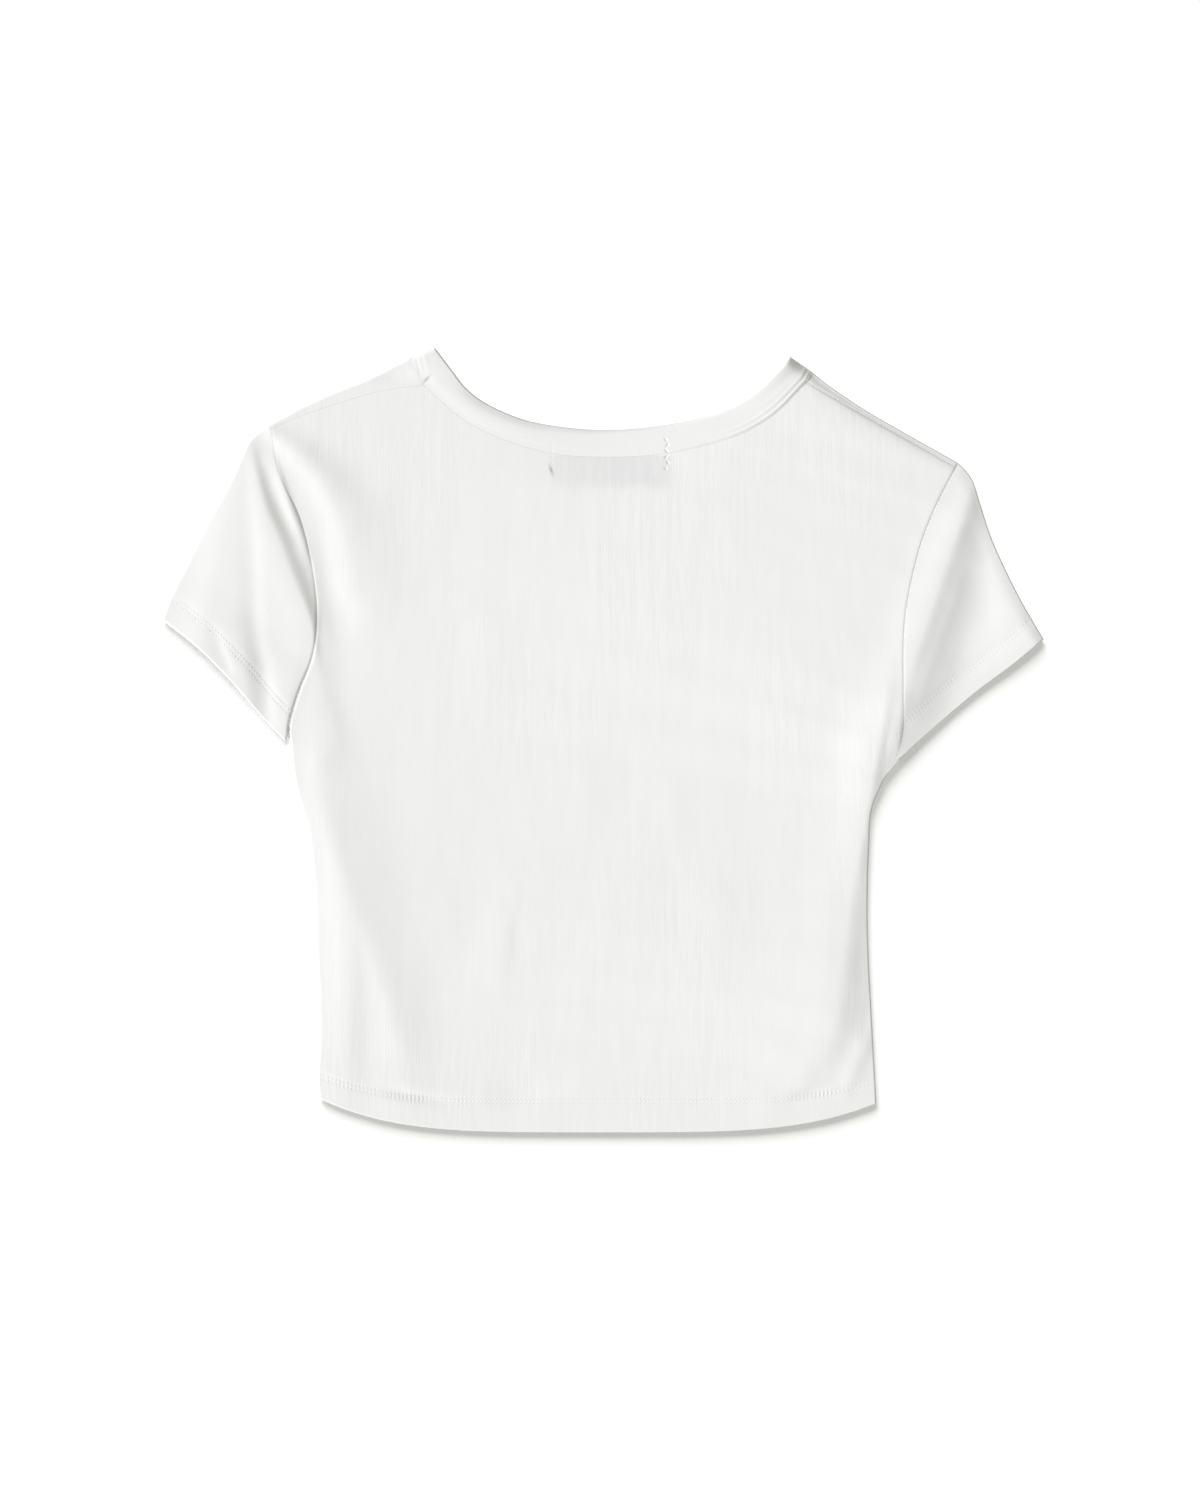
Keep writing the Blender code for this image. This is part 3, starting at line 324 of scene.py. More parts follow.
# ================================================================ curves in plan
def smooth_path(points, steps=PATH_STEPS):
    """Curve through the points: cubic Hermite spans on centripetal knots, as a dense polyline."""
    points = np.array([tuple(point) for point in points], float)
    knots = np.concatenate([[0.0], np.cumsum(np.linalg.norm(np.diff(points, axis=0), axis=1) ** 0.5)])
    slopes = np.gradient(points, knots, axis=0)
    spans = len(points) - 1
    at = np.linspace(0.0, spans, spans * steps + 1)
    span = np.minimum(at.astype(int), spans - 1)
    t = (at - span)[:, None]
    step = (knots[span + 1] - knots[span])[:, None]
    return (points[span] * (1 + 2 * t) * (1 - t) ** 2 + slopes[span] * step * t * (1 - t) ** 2
            + points[span + 1] * t ** 2 * (3 - 2 * t) - slopes[span + 1] * step * t ** 2 * (1 - t))


def lengths(path):
    """Distance along a polyline to each of its points."""
    return np.concatenate([[0.0], np.cumsum(np.linalg.norm(np.diff(path, axis=0), axis=1))])


def along(path, distance):
    """Points of a polyline at the given distances from its start."""
    way = lengths(path)
    return np.column_stack([np.interp(distance, way, path[:, axis]) for axis in range(2)])


def shares(points):
    """Distance along a row of points as a share of the whole, from 0 to 1."""
    way = lengths(points)
    return way / way[-1]


def unit(vectors):
    """The same directions with length 1."""
    return vectors / np.linalg.norm(vectors, axis=-1, keepdims=True)


def smooth_step(value):
    """0 below 0, 1 above 1 and a smooth S between."""
    value = np.clip(value, 0.0, 1.0)
    return value * value * (3.0 - 2.0 * value)


def bell(value):
    """1 at 0, falling off as exp(-value squared)."""
    return np.exp(-value * value)


def near_path(path, x, y):
    """Where places lie beside a polyline: signed distance across it (left of it is above 0),
    distance past its ends, and share of the way along it.  The nearest segment counts, and at a
    bend the plain distance to its point."""
    best = np.full(x.shape, np.inf)
    across = np.zeros(x.shape)
    past = np.zeros(x.shape)
    share = np.zeros(x.shape)
    way = lengths(path)
    for start, end, begun, ended in zip(path[:-1], path[1:], way[:-1], way[1:]):
        ahead = (end - start) / (ended - begun)
        dx = x - start[0]
        dy = y - start[1]
        travelled = dx * ahead[0] + dy * ahead[1]
        kept = np.clip(travelled, 0.0, ended - begun)
        aside = ahead[0] * dy - ahead[1] * dx
        beyond = travelled - kept
        distance = aside ** 2 + beyond ** 2
        closer = distance < best
        best = np.where(closer, distance, best)
        off_end = ((beyond < 0.0) & (begun == 0.0)) | ((beyond > 0.0) & (ended == way[-1]))
        beside = np.where(off_end, aside, np.copysign(np.sqrt(distance), aside))
        across = np.where(closer, beside, across)
        past = np.where(closer, np.where(off_end, beyond, 0.0), past)
        share = np.where(closer, (begun + kept) / way[-1], share)
    return across, past, share


def distance_to(path, x, y):
    """Plain distance from places to a polyline."""
    across, past, _ = near_path(path, x, y)
    return np.hypot(across, past)


SIDE_PATH = {side: smooth_path(SIDE_FOLD[side]) for side in SIDES}
ARMHOLE_PATH = {side: smooth_path(ARMHOLE[side]) for side in SIDES}
SHOULDER_PATH = {side: smooth_path(SHOULDER_FOLD[side]) for side in SIDES}
SLEEVE_PATH = {side: smooth_path(SLEEVE_FOLD[side]) for side in SIDES}
CUFF_PATH = {side: smooth_path(CUFF[side]) for side in SIDES}


def seam_end(side):
    """Where the shoulder seam meets the armhole."""
    path = ARMHOLE_PATH[side]
    return along(path, [lengths(path)[-1] - SHOULDER_SEAM_BEHIND])[0]


SHOULDER_SEAM_PATH = {side: smooth_path(SHOULDER_SEAM[side] + [Point(*seam_end(side))])
                      for side in SIDES}


def armhole_stations(side):
    """Points up the armhole from the underarm to the shoulder seam, closer together at the seam."""
    path = ARMHOLE_PATH[side]
    end = lengths(path)[-1] - SHOULDER_SEAM_BEHIND
    count = int(round((end - TOP_INSETS[0]) / CELL))
    even = np.linspace(UNDERARM_START, end - TOP_INSETS[0], max(count, ARMHOLE_ROWS))
    return along(path, np.concatenate([[0.0], even, end - np.array(TOP_INSETS[1:])]))


def shoulder_lines(side):
    """Matching points of the shoulder seam and of the fold in front of it, from neck to armhole."""
    share = np.linspace(0.0, 1.0, SHOULDER_COLUMNS + 1)
    fold = SHOULDER_PATH[side]
    seam = SHOULDER_SEAM_PATH[side]
    fold_end = lengths(fold)[-1]
    return (along(seam, share * lengths(seam)[-1]),
            along(fold, BINDING_ON_FOLD + share * (fold_end - BINDING_ON_FOLD)))


def back_neck(columns=NECK_COLUMNS):
    """Sewn and free side of the binding across the back, left to right."""
    rows = np.array([tuple(row) for row in BACK_NECK])
    seam = smooth_path([Point(*row) for row in rows[:, :2]])
    edge = smooth_path([Point(*row) for row in rows[:, 2:]])
    share = np.linspace(0.0, 1.0, columns + 1)
    return along(seam, share * lengths(seam)[-1]), along(edge, share * lengths(edge)[-1])


def front_neck(columns=NECK_COLUMNS):
    """Sewn and free side across the front: half-ellipses hung between the ends of back_neck()."""
    angle = np.linspace(0.0, math.pi, columns + 1)
    curves = []
    for ends, drop in zip(back_neck(), (FRONT_SEAM_DROP, FRONT_EDGE_DROP)):
        across = (1.0 - np.cos(angle))[:, None] / 2.0
        curve = ends[0] + (ends[-1] - ends[0]) * across
        curve[:, 1] -= drop * np.sin(angle)
        curves.append(curve)
    return curves


# ================================================================ heights
def hem_height(share):
    """y of the hem line at a share of its width: lowest in the middle, up with the fourth power."""
    across = 2.0 * share - 1.0
    rise = np.where(across < 0.0, HEM_RISE_LEFT, HEM_RISE_RIGHT)
    return HEM_LOWEST + rise * across ** 4


def hem_place(x):
    """Share of the hem's width, from 0 at its left end to 1 at its right one."""
    return np.clip((x - HEM_LEFT) / (HEM_RIGHT - HEM_LEFT), 0.0, 1.0)


def above_hem(x, y):
    """Distance in y above the body's hem."""
    return y - hem_height(hem_place(x))


def row_bow(share):
    """How much further up the hem's needle rows lie towards the middle of the body."""
    return HEM_BOW * (1.0 - (2.0 * share - 1.0) ** 2)


def hem_distance(x, y):
    """Distance above the body's hem as its needle rows follow it."""
    return above_hem(x, y) - row_bow(hem_place(x))


def hem_share(distance, depth):
    """1 on a hem of this depth, 0 past it."""
    return smooth_step((depth + HEM_STEP - distance) / HEM_STEP)


def spread(values, share):
    """Values given at evenly spaced places along a line, eased from each to the next."""
    values = np.array(values, float)
    at = share * (len(values) - 1)
    before = np.minimum(at.astype(int), max(len(values) - 2, 0))
    after = np.minimum(before + 1, len(values) - 1)
    return values[before] + (values[after] - values[before]) * smooth_step(at - before)


def spread_mm(values, share):
    """The same for values in millimetres, given back in metres."""
    return spread(values, share) / 1000.0


def crease_sum(creases, x, y):
    """Added heights of the listed creases: a bell across each line, with its own reach to each
    side, that also fades past the line's ends."""
    total = np.zeros_like(x)
    for crease in creases:
        path = smooth_path(np.array(crease.line) / 1000.0, CREASE_STEPS)
        across, past, share = near_path(path, x, y)
        left = spread_mm(crease.left, share)
        right = spread_mm(crease.right, share)
        reach = np.where(across > 0.0, left, right)
        end = np.minimum((left + right) / 2.0, CREASE_END)
        total += spread_mm(crease.rise, share) * bell(across / reach) * bell(past / end)
    return total


def seam_fall(x, y):
    """How much lower the upper layer's outer face lies beside the seams: a narrow bell across
    each one, wider where it is deeper."""
    fall = np.zeros_like(x)
    neck = (smooth_path([Point(row.seam_x, row.seam_y) for row in BACK_NECK]), NECK_DEPTH)
    seams = [(ARMHOLE_PATH[side], ARMHOLE_DEPTH[side]) for side in SIDES]
    seams += [(SHOULDER_SEAM_PATH[side], SHOULDER_DEPTH[side]) for side in SIDES]
    for path, depths in seams + [neck]:
        across, past, share = near_path(path, x, y)
        depth = np.where(across > 0.0, spread_mm(depths.left, share), spread_mm(depths.right, share))
        reach = SEAM_REACH + SEAM_REACH_GAIN * depth
        fall = np.maximum(fall, depth * bell(np.hypot(across, past) / reach))
    return fall


def beside_folds(x, y):
    """How far the cloth stands up inside the folded edges, and how far it falls right beside them."""
    lift = np.zeros_like(x)
    fall = np.zeros_like(x)
    for fold, paths in (("side", SIDE_PATH), ("shoulder", SHOULDER_PATH), ("sleeve", SLEEVE_PATH)):
        for side in SIDES:
            aside, past, share = near_path(paths[side], x, y)
            beyond = np.maximum(np.hypot(aside, past) - FOLD_RADIUS, 0.0)
            lifted = spread_mm(FOLD_LIFT[fold][side], share) * bell(beyond / FOLD_LIFT_REACH[fold])
            fading = np.exp(-(beyond / FOLD_FALL_REACH[fold]) ** FOLD_FALL_SHAPE)
            lift = np.maximum(lift, lifted)
            fall = np.maximum(fall, spread_mm(FOLD_FALL[fold][side], share) * fading)
    return lift, fall


def hem_lift(x, y):
    """How much higher the upper layer lies on the hems and just past them."""
    hem = smooth_step((HEM_DEPTH + HEM_SLOPE - above_hem(x, y)) / HEM_SLOPE)
    for side in SIDES:
        from_cuff = distance_to(CUFF_PATH[side], x, y)
        hem = np.maximum(hem, smooth_step((SLEEVE_HEM_DEPTH + HEM_SLOPE - from_cuff) / HEM_SLOPE))
    return hem * HEM_LIFT


def neck_sag(x, y):
    """How far the upper layer is let down at the back neck: squared cosines in x and y."""
    across = np.clip(np.abs(x - SAG_CENTRE.x) / SAG_REACH.x, 0.0, 1.0)
    up = np.clip(np.abs(y - SAG_CENTRE.y) / SAG_REACH.y, 0.0, 1.0)
    return NECK_SAG * (np.cos(across * math.pi / 2.0) * np.cos(up * math.pi / 2.0)) ** 2


def top_height(x, y):
    """Height of the upper layer's outer face over a place in plan.

    Two layers and the air between them, raised beside folded edges and over hems, with the
    creases added, let down at the back neck, and kept off the lower layer by a soft floor.
    """
    lift, fall = beside_folds(x, y)
    height = (2.0 * WALL + AIR + (lift ** 3 + hem_lift(x, y) ** 3) ** (1.0 / 3.0) - fall - neck_sag(x, y)
              + crease_sum(TOP_CREASES, x, y) - np.maximum(seam_fall(x, y) - OUTER_DIP, 0.0))
    return LOWEST_TOP + TOP_SOFTNESS * np.logaddexp(0.0, (height - LOWEST_TOP) / TOP_SOFTNESS)


def fold_level(x, y):
    """Height of the outermost line of a folded edge."""
    return np.maximum(FOLD_LEVEL, top_height(x, y) - FOLD_DROP)


def bottom_height(x, y):
    """Height of the lower layer's outer face: on the surface but for shallow troughs."""
    return crease_sum(BOTTOM_CREASES, x, y)


def outer_dip(x, y):
    """The part of the seams' dip that is only in the outer face."""
    return np.minimum(seam_fall(x, y), OUTER_DIP)


def trench(distance):
    """How a face lies lower along the needle rows of a hem."""
    return STITCH_TRENCH * sum(bell((distance - row) / STITCH_TRENCH_REACH) for row in STITCH_ROWS)


def edge_round(distance, radius=EDGE_ROUND):
    """How far a quarter-round edge lies inside its flat face."""
    inside = 1.0 - np.clip(distance / radius, 0.0, 1.0)
    return radius * (1.0 - np.sqrt(1.0 - inside ** 2))


# ================================================================ walls
def wall_points(plan, inward, turn, upper, thickness, level, strength=1.0, extra=0.0, sunk=0.0,
                rounding=0.0):
    """Outer and inner points of cloth whose edge may roll over.

    turn is the roll's angle in radians, 0 at its outermost line and a right angle where the cloth
    lies flat.  The outer face goes from level to the flat height with the sine of the angle, and
    the inner face stays one thickness inside it: thickness * cos(turn) in plan along inward.
    upper says where the cloth lies above, and strength, from 0 to 1, how far the edge rolls.
    extra raises the upper outer face, sunk lets the outer face in, rounding lets in both.
    """
    x, y = plan[..., 0], plan[..., 1]
    lower_flat = bottom_height(x, y)
    flat = np.where(upper, top_height(x, y) + extra, lower_flat)
    outward = np.where(upper, 1.0, -1.0)
    flat_inside = flat - outward * (thickness - rounding)
    flat = flat - outward * (sunk + rounding)
    down = strength * (1.0 - np.sin(turn))
    shift = (strength * thickness * np.cos(turn))[..., None] * inward
    outer = np.concatenate([plan, (flat + (level - flat) * down)[..., None]], axis=-1)
    inner = np.concatenate([plan + shift, (flat_inside + (level - flat_inside) * down)[..., None]],
                           axis=-1)
    return outer, inner


def add_edge_columns(plan, start):
    """Put the narrow columns of the roll in place of the outermost ones at both ends of each row.

    start is how far in each row begins.  Returns the wider net, the direction into the cloth at
    each point and the roll angle of each column, which is a right angle between the two rolls.
    """
    angles = np.concatenate([np.radians(ROLL_ANGLES), np.full(len(PAST_ROLL), math.pi / 2.0)])
    depth = FOLD_RADIUS * (1.0 - np.cos(angles))
    depth[len(ROLL_ANGLES):] = PAST_ROLL
    inset = start[:, None] + depth
    skip = 1 + SKIPPED_COLUMNS
    first = unit(plan[:, skip] - plan[:, 0])
    last = unit(plan[:, -1 - skip] - plan[:, -1])
    left = plan[:, :1] + inset[..., None] * first[:, None]
    right = (plan[:, -1:] + inset[..., None] * last[:, None])[:, ::-1]
    wide = np.concatenate([left, plan[:, skip:-skip], right], axis=1)
    middle = plan.shape[1] - 2 * skip
    half = len(angles) + middle // 2
    inward = np.repeat(last[:, None], wide.shape[1], axis=1)
    inward[:, :half] = first[:, None]
    turn = np.concatenate([angles, np.full(middle, math.pi / 2.0), angles[::-1]])
    return wide, inward, turn


def stretch(bottom, top, left, right):
    """Net in plan between four edges, rows from bottom to top.

    Straight columns between bottom and top, bent beside the two sides by what each side bows
    away from the straight line between its ends (a Coons patch with a quick falloff).
    """
    u = ((shares(bottom) + shares(top)) / 2.0)[None, :, None]
    v = ((shares(left) + shares(right)) / 2.0)[:, None, None]
    left_bow = left[:, None] - (1 - v) * left[0] - v * left[-1]
    right_bow = right[:, None] - (1 - v) * right[0] - v * right[-1]
    return ((1 - v) * bottom[None] + v * top[None]
            + (1 - u) ** BOW_FALLOFF * left_bow + u ** BOW_FALLOFF * right_bow)


def net_quads(present, closed=False):
    """Corner numbers of a net's quads, counter-clockwise seen from above.

    present says which patches exist.  A closed net joins its last column to its first.
    """
    columns = present.shape[1] + (0 if closed else 1)
    row, column = np.nonzero(present)
    following = (column + 1) % columns
    return np.column_stack([row * columns + column, row * columns + following,
                            (row + 1) * columns + following, (row + 1) * columns + column])


def add_mesh(name, points, faces, material, maps):
    """A smooth mesh object.  maps holds (u, v) in metres by map name, for every point or for
    every corner of every face."""
    used = np.unique(faces)
    renumber = np.zeros(len(points), np.int64)
    renumber[used] = np.arange(len(used))
    faces = renumber[faces]
    mesh = bpy.data.meshes.new(name)
    mesh.vertices.add(len(used))
    mesh.vertices.foreach_set("co", points[used].astype(np.float32).ravel())
    mesh.loops.add(faces.size)
    mesh.loops.foreach_set("vertex_index", faces.ravel().astype(np.int32))
    mesh.polygons.add(len(faces))
    mesh.polygons.foreach_set("loop_start", np.arange(len(faces), dtype=np.int32) * faces.shape[1])
    mesh.update(calc_edges=True)
    mesh.validate()
    for map_name, places in maps.items():
        layer = mesh.uv_layers.new(name=map_name)
        corners = places if places.ndim == 3 else places[used][faces.ravel()]
        layer.data.foreach_set("uv", corners.astype(np.float32).ravel())
    mesh.shade_smooth()
    mesh.set_sharp_from_angle(angle=SHARP_ANGLE)
    mesh.materials.append(material)
    piece = bpy.data.objects.new(name, mesh)
    bpy.context.scene.collection.objects.link(piece)
    return piece


def add_wall(name, outer, inner, quads, material, wales, edge):
    """Closed shell between two matching nets: outside, inside, and a rim along each free side.

    wales and edge are its two maps, in metres: along and across the knit, and along and in from
    the hem.
    """
    outer = outer.reshape(-1, 3)
    inner = inner.reshape(-1, 3)
    count = len(outer)
    start = quads.ravel()
    end = np.roll(quads, -1, axis=1).ravel()
    free = ~np.isin(start * count + end, end * count + start)
    rim = np.column_stack([end[free], start[free], start[free] + count, end[free] + count])
    maps = {map_name: np.vstack([places.reshape(-1, 2)] * 2)
            for map_name, places in (("wales", wales), ("edge", edge))}
    return add_mesh(name, np.vstack([outer, inner]), np.vstack([quads, quads[:, ::-1] + count, rim]),
                    material, maps)


def unrolled(outer):
    """Distance across each row of a net on its surface, counted from the row's middle point."""
    steps = np.linalg.norm(np.diff(outer, axis=1), axis=2)
    way = np.concatenate([np.zeros((len(outer), 1)), np.cumsum(steps, axis=1)], axis=1)
    middle = outer.shape[1] // 2
    return way - way[:, middle:middle + 1] + outer[:, middle:middle + 1, 0]


# ================================================================ body panels
def side_stations(side):
    """Points up one side of a panel, and 1 where that side is folded, 0 along the armhole."""
    path = SIDE_PATH[side]
    total = lengths(path)[-1]
    up_side = np.concatenate([HEM_ROWS, np.linspace(HEM_ROWS[-1], total, SIDE_ROWS + 1)[1:]])
    up_armhole = armhole_stations(side)[1:]
    roll = np.concatenate([np.ones(len(up_side)), np.zeros(len(up_armhole))])
    return np.vstack([along(path, up_side), up_armhole]), roll


def panel_plan(neck_seam, neck_edge, shorter):
    """A panel's net in plan, with its neck edge half a seam gap inside the seam; panel_walls() sets its
    armhole edges in by as much.
    """
    left, roll = side_stations("left")
    right, _ = side_stations("right")
    left_seam = shoulder_lines("left")[0][::-1]
    right_seam = shoulder_lines("right")[0]
    neck = neck_seam - unit(neck_edge - neck_seam) * SEAM_GAP / 2.0
    top = np.vstack([left_seam[:-1], neck, right_seam[1:]])
    across = np.linspace(0.0, 1.0, len(top))
    hem_rows = len(HEM_ROWS)
    hem = np.empty((hem_rows, len(top), 2))
    for row, distance in enumerate(HEM_ROWS):
        up = distance + shorter * (1.0 - distance / HEM_ROWS[-1])
        hem[row, :, 0] = left[row, 0] + (right[row, 0] - left[row, 0]) * across
        hem[row, :, 1] = hem_height(across) + up
        hem[row, 0] = left[row] + (0.0, up - distance)
        hem[row, -1] = right[row] + (0.0, up - distance)
    above = stretch(hem[-1], top, left[hem_rows - 1:], right[hem_rows - 1:])
    return np.vstack([hem, above[1:]]), roll


def panel_walls(plan, roll, upper):
    """Outer and inner nets of a whole panel up to its shoulder and neck seams, and its maps."""
    start = (1.0 - roll) * SEAM_GAP / 2.0
    wide, inward, turn = add_edge_columns(plan, start)
    x, y = wide[..., 0], wide[..., 1]
    from_hem = above_hem(x, y) - (0.0 if upper else FRONT_SHORTER)
    thickness = WALL + (HEM_WALL - WALL) * hem_share(from_hem, HEM_DEPTH)
    sunk = trench(hem_distance(x, y)) + outer_dip(x, y)
    level = fold_level(x, y) + (SEAM_GAP / 2.0 if upper else -SEAM_GAP / 2.0)
    outer, inner = wall_points(wide, inward, turn, upper, thickness, level, roll[:, None],
                               sunk=sunk, rounding=edge_round(from_hem))
    wales = np.stack([unrolled(outer), y], axis=-1)
    edge = np.stack([x, hem_distance(x, y)], axis=-1)
    return wide, outer, inner, wales, edge


def add_back(material):
    """The back panel: the upper layer, from the hem to the shoulder and neck seams."""
    seam, free = back_neck()
    plan, roll = panel_plan(seam, free, 0.0)
    off_seam = unit(plan[-2] - plan[-1]) * SEAM_GAP / 2.0
    shoulder = np.r_[0:SHOULDER_COLUMNS + 1, -SHOULDER_COLUMNS - 1:0]
    plan[-1, shoulder] += off_seam[shoulder]
    _, outer, inner, wales, edge = panel_walls(plan, roll, True)
    quads = net_quads(np.ones((outer.shape[0] - 1, outer.shape[1] - 1), bool))
    return add_wall("back_panel", outer, inner, quads, material, wales, edge)


def shoulder_strip(side, seam_row):
    """Rows of the front panel that turn over the shoulder fold, from below to the seam on top.

    seam_row holds the panel's last row on this shoulder, from the armhole inwards; each of its
    points has a partner on the fold.
    """
    seam, fold = (line[::-1] for line in shoulder_lines(side))
    way = lengths(seam_row) + SEAM_GAP / 2.0
    way[-1] = lengths(seam)[-1]
    fold_row = along(fold, way * lengths(fold)[-1] / lengths(seam)[-1])
    fold_row[-1] += seam_row[-1] - seam[-1]
    into = unit(seam_row - fold_row)
    angles = np.radians(ROLL_ANGLES)
    inset = FOLD_RADIUS * (1.0 - np.cos(angles))
    rolled = fold_row[None] + inset[:, None, None] * into[None]
    last = seam_row - into * SEAM_GAP / 2.0
    share = np.linspace(0.0, 1.0, STRIP_ROWS + 1)[1:, None, None]
    flat = rolled[-1] * (1.0 - share) + last * share
    over = np.concatenate([rolled[::-1], rolled[1:], flat])
    turn = np.concatenate([angles[::-1], angles[1:], np.full(STRIP_ROWS, math.pi / 2.0)])
    upper = (np.arange(len(turn)) >= len(angles) - 1)[:, None]
    x, y = over[..., 0], over[..., 1]
    return wall_points(over, into, turn[:, None], upper, WALL, fold_level(x, y),
                       sunk=np.where(upper, outer_dip(x, y), 0.0))


def add_front(material):
    """The front panel: the lower layer, and on each shoulder a strip that turns up over the fold."""
    seam, free = front_neck()
    plan, roll = panel_plan(seam, free, FRONT_SHORTER)
    wide, outer, inner, wales, edge = panel_walls(plan, roll, False)
    rows, columns = outer.shape[:2]
    shoulder = SHOULDER_COLUMNS - SKIPPED_COLUMNS + len(ROLL_ANGLES) + len(PAST_ROLL)
    left = np.array(shoulder_strip("left", wide[-1, :shoulder]))
    right = np.array(shoulder_strip("right", wide[-1, ::-1][:shoulder]))
    strip_rows = left.shape[1]
    over = np.zeros((2, strip_rows, columns, 3))
    over[:, :, :shoulder] = left
    over[:, :, columns - shoulder:] = right[:, :, ::-1]
    outer_over, inner_over = over
    present = np.ones((rows + strip_rows - 1, columns - 1), bool)
    present[rows - 1:, shoulder - 1:columns - shoulder] = False
    quads = net_quads(present)[:, ::-1]
    wales = np.vstack([wales, outer_over[..., :2]])
    edge = np.vstack([edge, np.full_like(outer_over[..., :2], FAR_FROM_HEM)])
    return add_wall("front_panel", np.vstack([outer, outer_over]), np.vstack([inner, inner_over]),
                    quads, material, wales, edge)


# ================================================================ sleeves
def add_sleeve(side, material):
    """A sleeve: a flattened tube of rings from the armhole to the cuff."""
    hole = ARMHOLE_PATH[side]
    station = np.linspace(0.0, 1.0, SLEEVE_COLUMNS + 1)
    hole_length = lengths(hole)[-1]
    armhole = along(hole, UNDERARM_START + station * (hole_length - UNDERARM_START))
    cuff = along(CUFF_PATH[side], station * lengths(CUFF_PATH[side])[-1])
    ring_share = np.sort(np.concatenate([np.linspace(0.0, 1.0, SLEEVE_RINGS), SLEEVE_END_RINGS]))
    underarm = armhole[0] + (cuff[0] - armhole[0]) * ring_share[:, None]
    fold = along(SLEEVE_PATH[side], ring_share * lengths(SLEEVE_PATH[side])[-1])
    plan = stretch(armhole, cuff, underarm, fold)
    plan[0] += unit(plan[1] - plan[0]) * SEAM_GAP / 2.0
    wide, inward, turn = add_edge_columns(plan, np.zeros(len(plan)))
    x, y = wide[..., 0], wide[..., 1]
    across_cuff, _, cuff_share = near_path(CUFF_PATH[side], x, y)
    from_cuff = np.abs(across_cuff)
    thickness = WALL + (HEM_WALL - WALL) * hem_share(from_cuff, SLEEVE_HEM_DEPTH)
    sunk = trench(from_cuff) + outer_dip(x, y)
    above, below = (wall_points(wide, inward, turn, upper, thickness, fold_level(x, y),
                                sunk=sunk, rounding=edge_round(from_cuff)) for upper in (True, False))
    outer, inner = (np.concatenate([over, under[:, -2:0:-1]], axis=1)
                    for over, under in zip(above, below))
    quads = net_quads(np.ones((outer.shape[0] - 1, outer.shape[1]), bool), closed=True)
    if side == "right":
        quads = quads[:, ::-1]
    ahead = unit(fold[-1] - fold[0])
    aside = np.array([-ahead[1], ahead[0]])
    wales = np.stack([outer[..., :2] @ aside, outer[..., :2] @ ahead], axis=-1)
    edge = np.stack([cuff_share * lengths(CUFF_PATH[side])[-1], from_cuff], axis=-1)
    edge = np.concatenate([edge, edge[:, -2:0:-1]], axis=1)
    return add_wall(side + "_sleeve", outer, inner, quads, material, wales, edge)


# ================================================================ neck binding
def binding_fold(side):
    """Where the binding's sewn and free side cross a shoulder fold, and each one's direction from
    there to the end of the back neck."""
    end = -1 if side == "right" else 0
    crossings = along(SHOULDER_PATH[side], [BINDING_ON_FOLD])[0], SHOULDER_PATH[side][0]
    return [(crossing, unit(line[end] - crossing)) for crossing, line in zip(crossings, back_neck())]


def binding_turn(side):
    """Stations of the binding over one shoulder fold, from the upper run down to the lower one.

    Gives the sewn and free side of each station, the roll angle, and whether it lies above.
    """
    angles = np.radians(ROLL_ANGLES)
    turn = np.concatenate([angles[::-1], angles[1:]])
    inset = (BINDING_LEVEL * (1.0 - np.cos(turn)))[:, None]
    seam, edge = (crossing + into * inset for crossing, into in binding_fold(side))
    return seam, edge, turn, np.arange(len(turn)) < len(angles)


def binding_inward(shape, across, half):
    """Direction into the cloth for every point of the binding; it only counts on the two turns."""
    inward = np.zeros((*shape, 2))
    for side, rows in (("right", slice(0, half)), ("left", slice(half, shape[0]))):
        (_, into_seam), (_, into_edge) = binding_fold(side)
        inward[rows] = unit(into_seam * (1.0 - across) + into_edge * across)
    return inward


def bridge(first, last):
    """Evenly spaced points between two, without them."""
    return first + (last - first) * np.linspace(0.0, 1.0, BINDING_BRIDGE + 2)[1:-1, None]


def binding_stations():
    """The binding's stations round the neck: along the back, over the right fold, back along the
    front and over the left fold.

    Gives the sewn and free side of each station, the roll angle, and whether it lies above.
    """
    columns = 2 * NECK_COLUMNS
    back = back_neck(columns)
    front = front_neck(columns)
    right = binding_turn("right")
    left = binding_turn("left")
    seam, edge = (np.vstack([back[line], bridge(back[line][-1], right[line][0]), right[line],
                             bridge(right[line][-1], front[line][-1]), front[line][::-1],
                             bridge(front[line][0], left[line][-1]), left[line][::-1],
                             bridge(left[line][0], back[line][0])]) for line in range(2))
    flat = np.full(columns + 1, math.pi / 2.0)
    between = flat[:BINDING_BRIDGE]
    turn = np.concatenate([flat, between, right[2], between, flat, between, left[2][::-1], between])
    upper = np.concatenate([flat > 0.0, between > 0.0, right[3], between < 0.0, flat < 0.0,
                            between < 0.0, left[3][::-1], between > 0.0])
    return seam, edge, turn[:, None], upper[:, None]


def round_neck(values, stations):
    """Values given along the back, for each station of the binding: eased along the back, the last
    one from there to the middle of the front, and the first one from there on."""
    across_back = 2 * NECK_COLUMNS + 1
    half = stations // 2
    return np.concatenate([spread(values, np.linspace(0.0, 1.0, across_back)),
                           np.full(half - across_back, values[-1]),
                           np.full(stations - half, values[0])])[:, None]


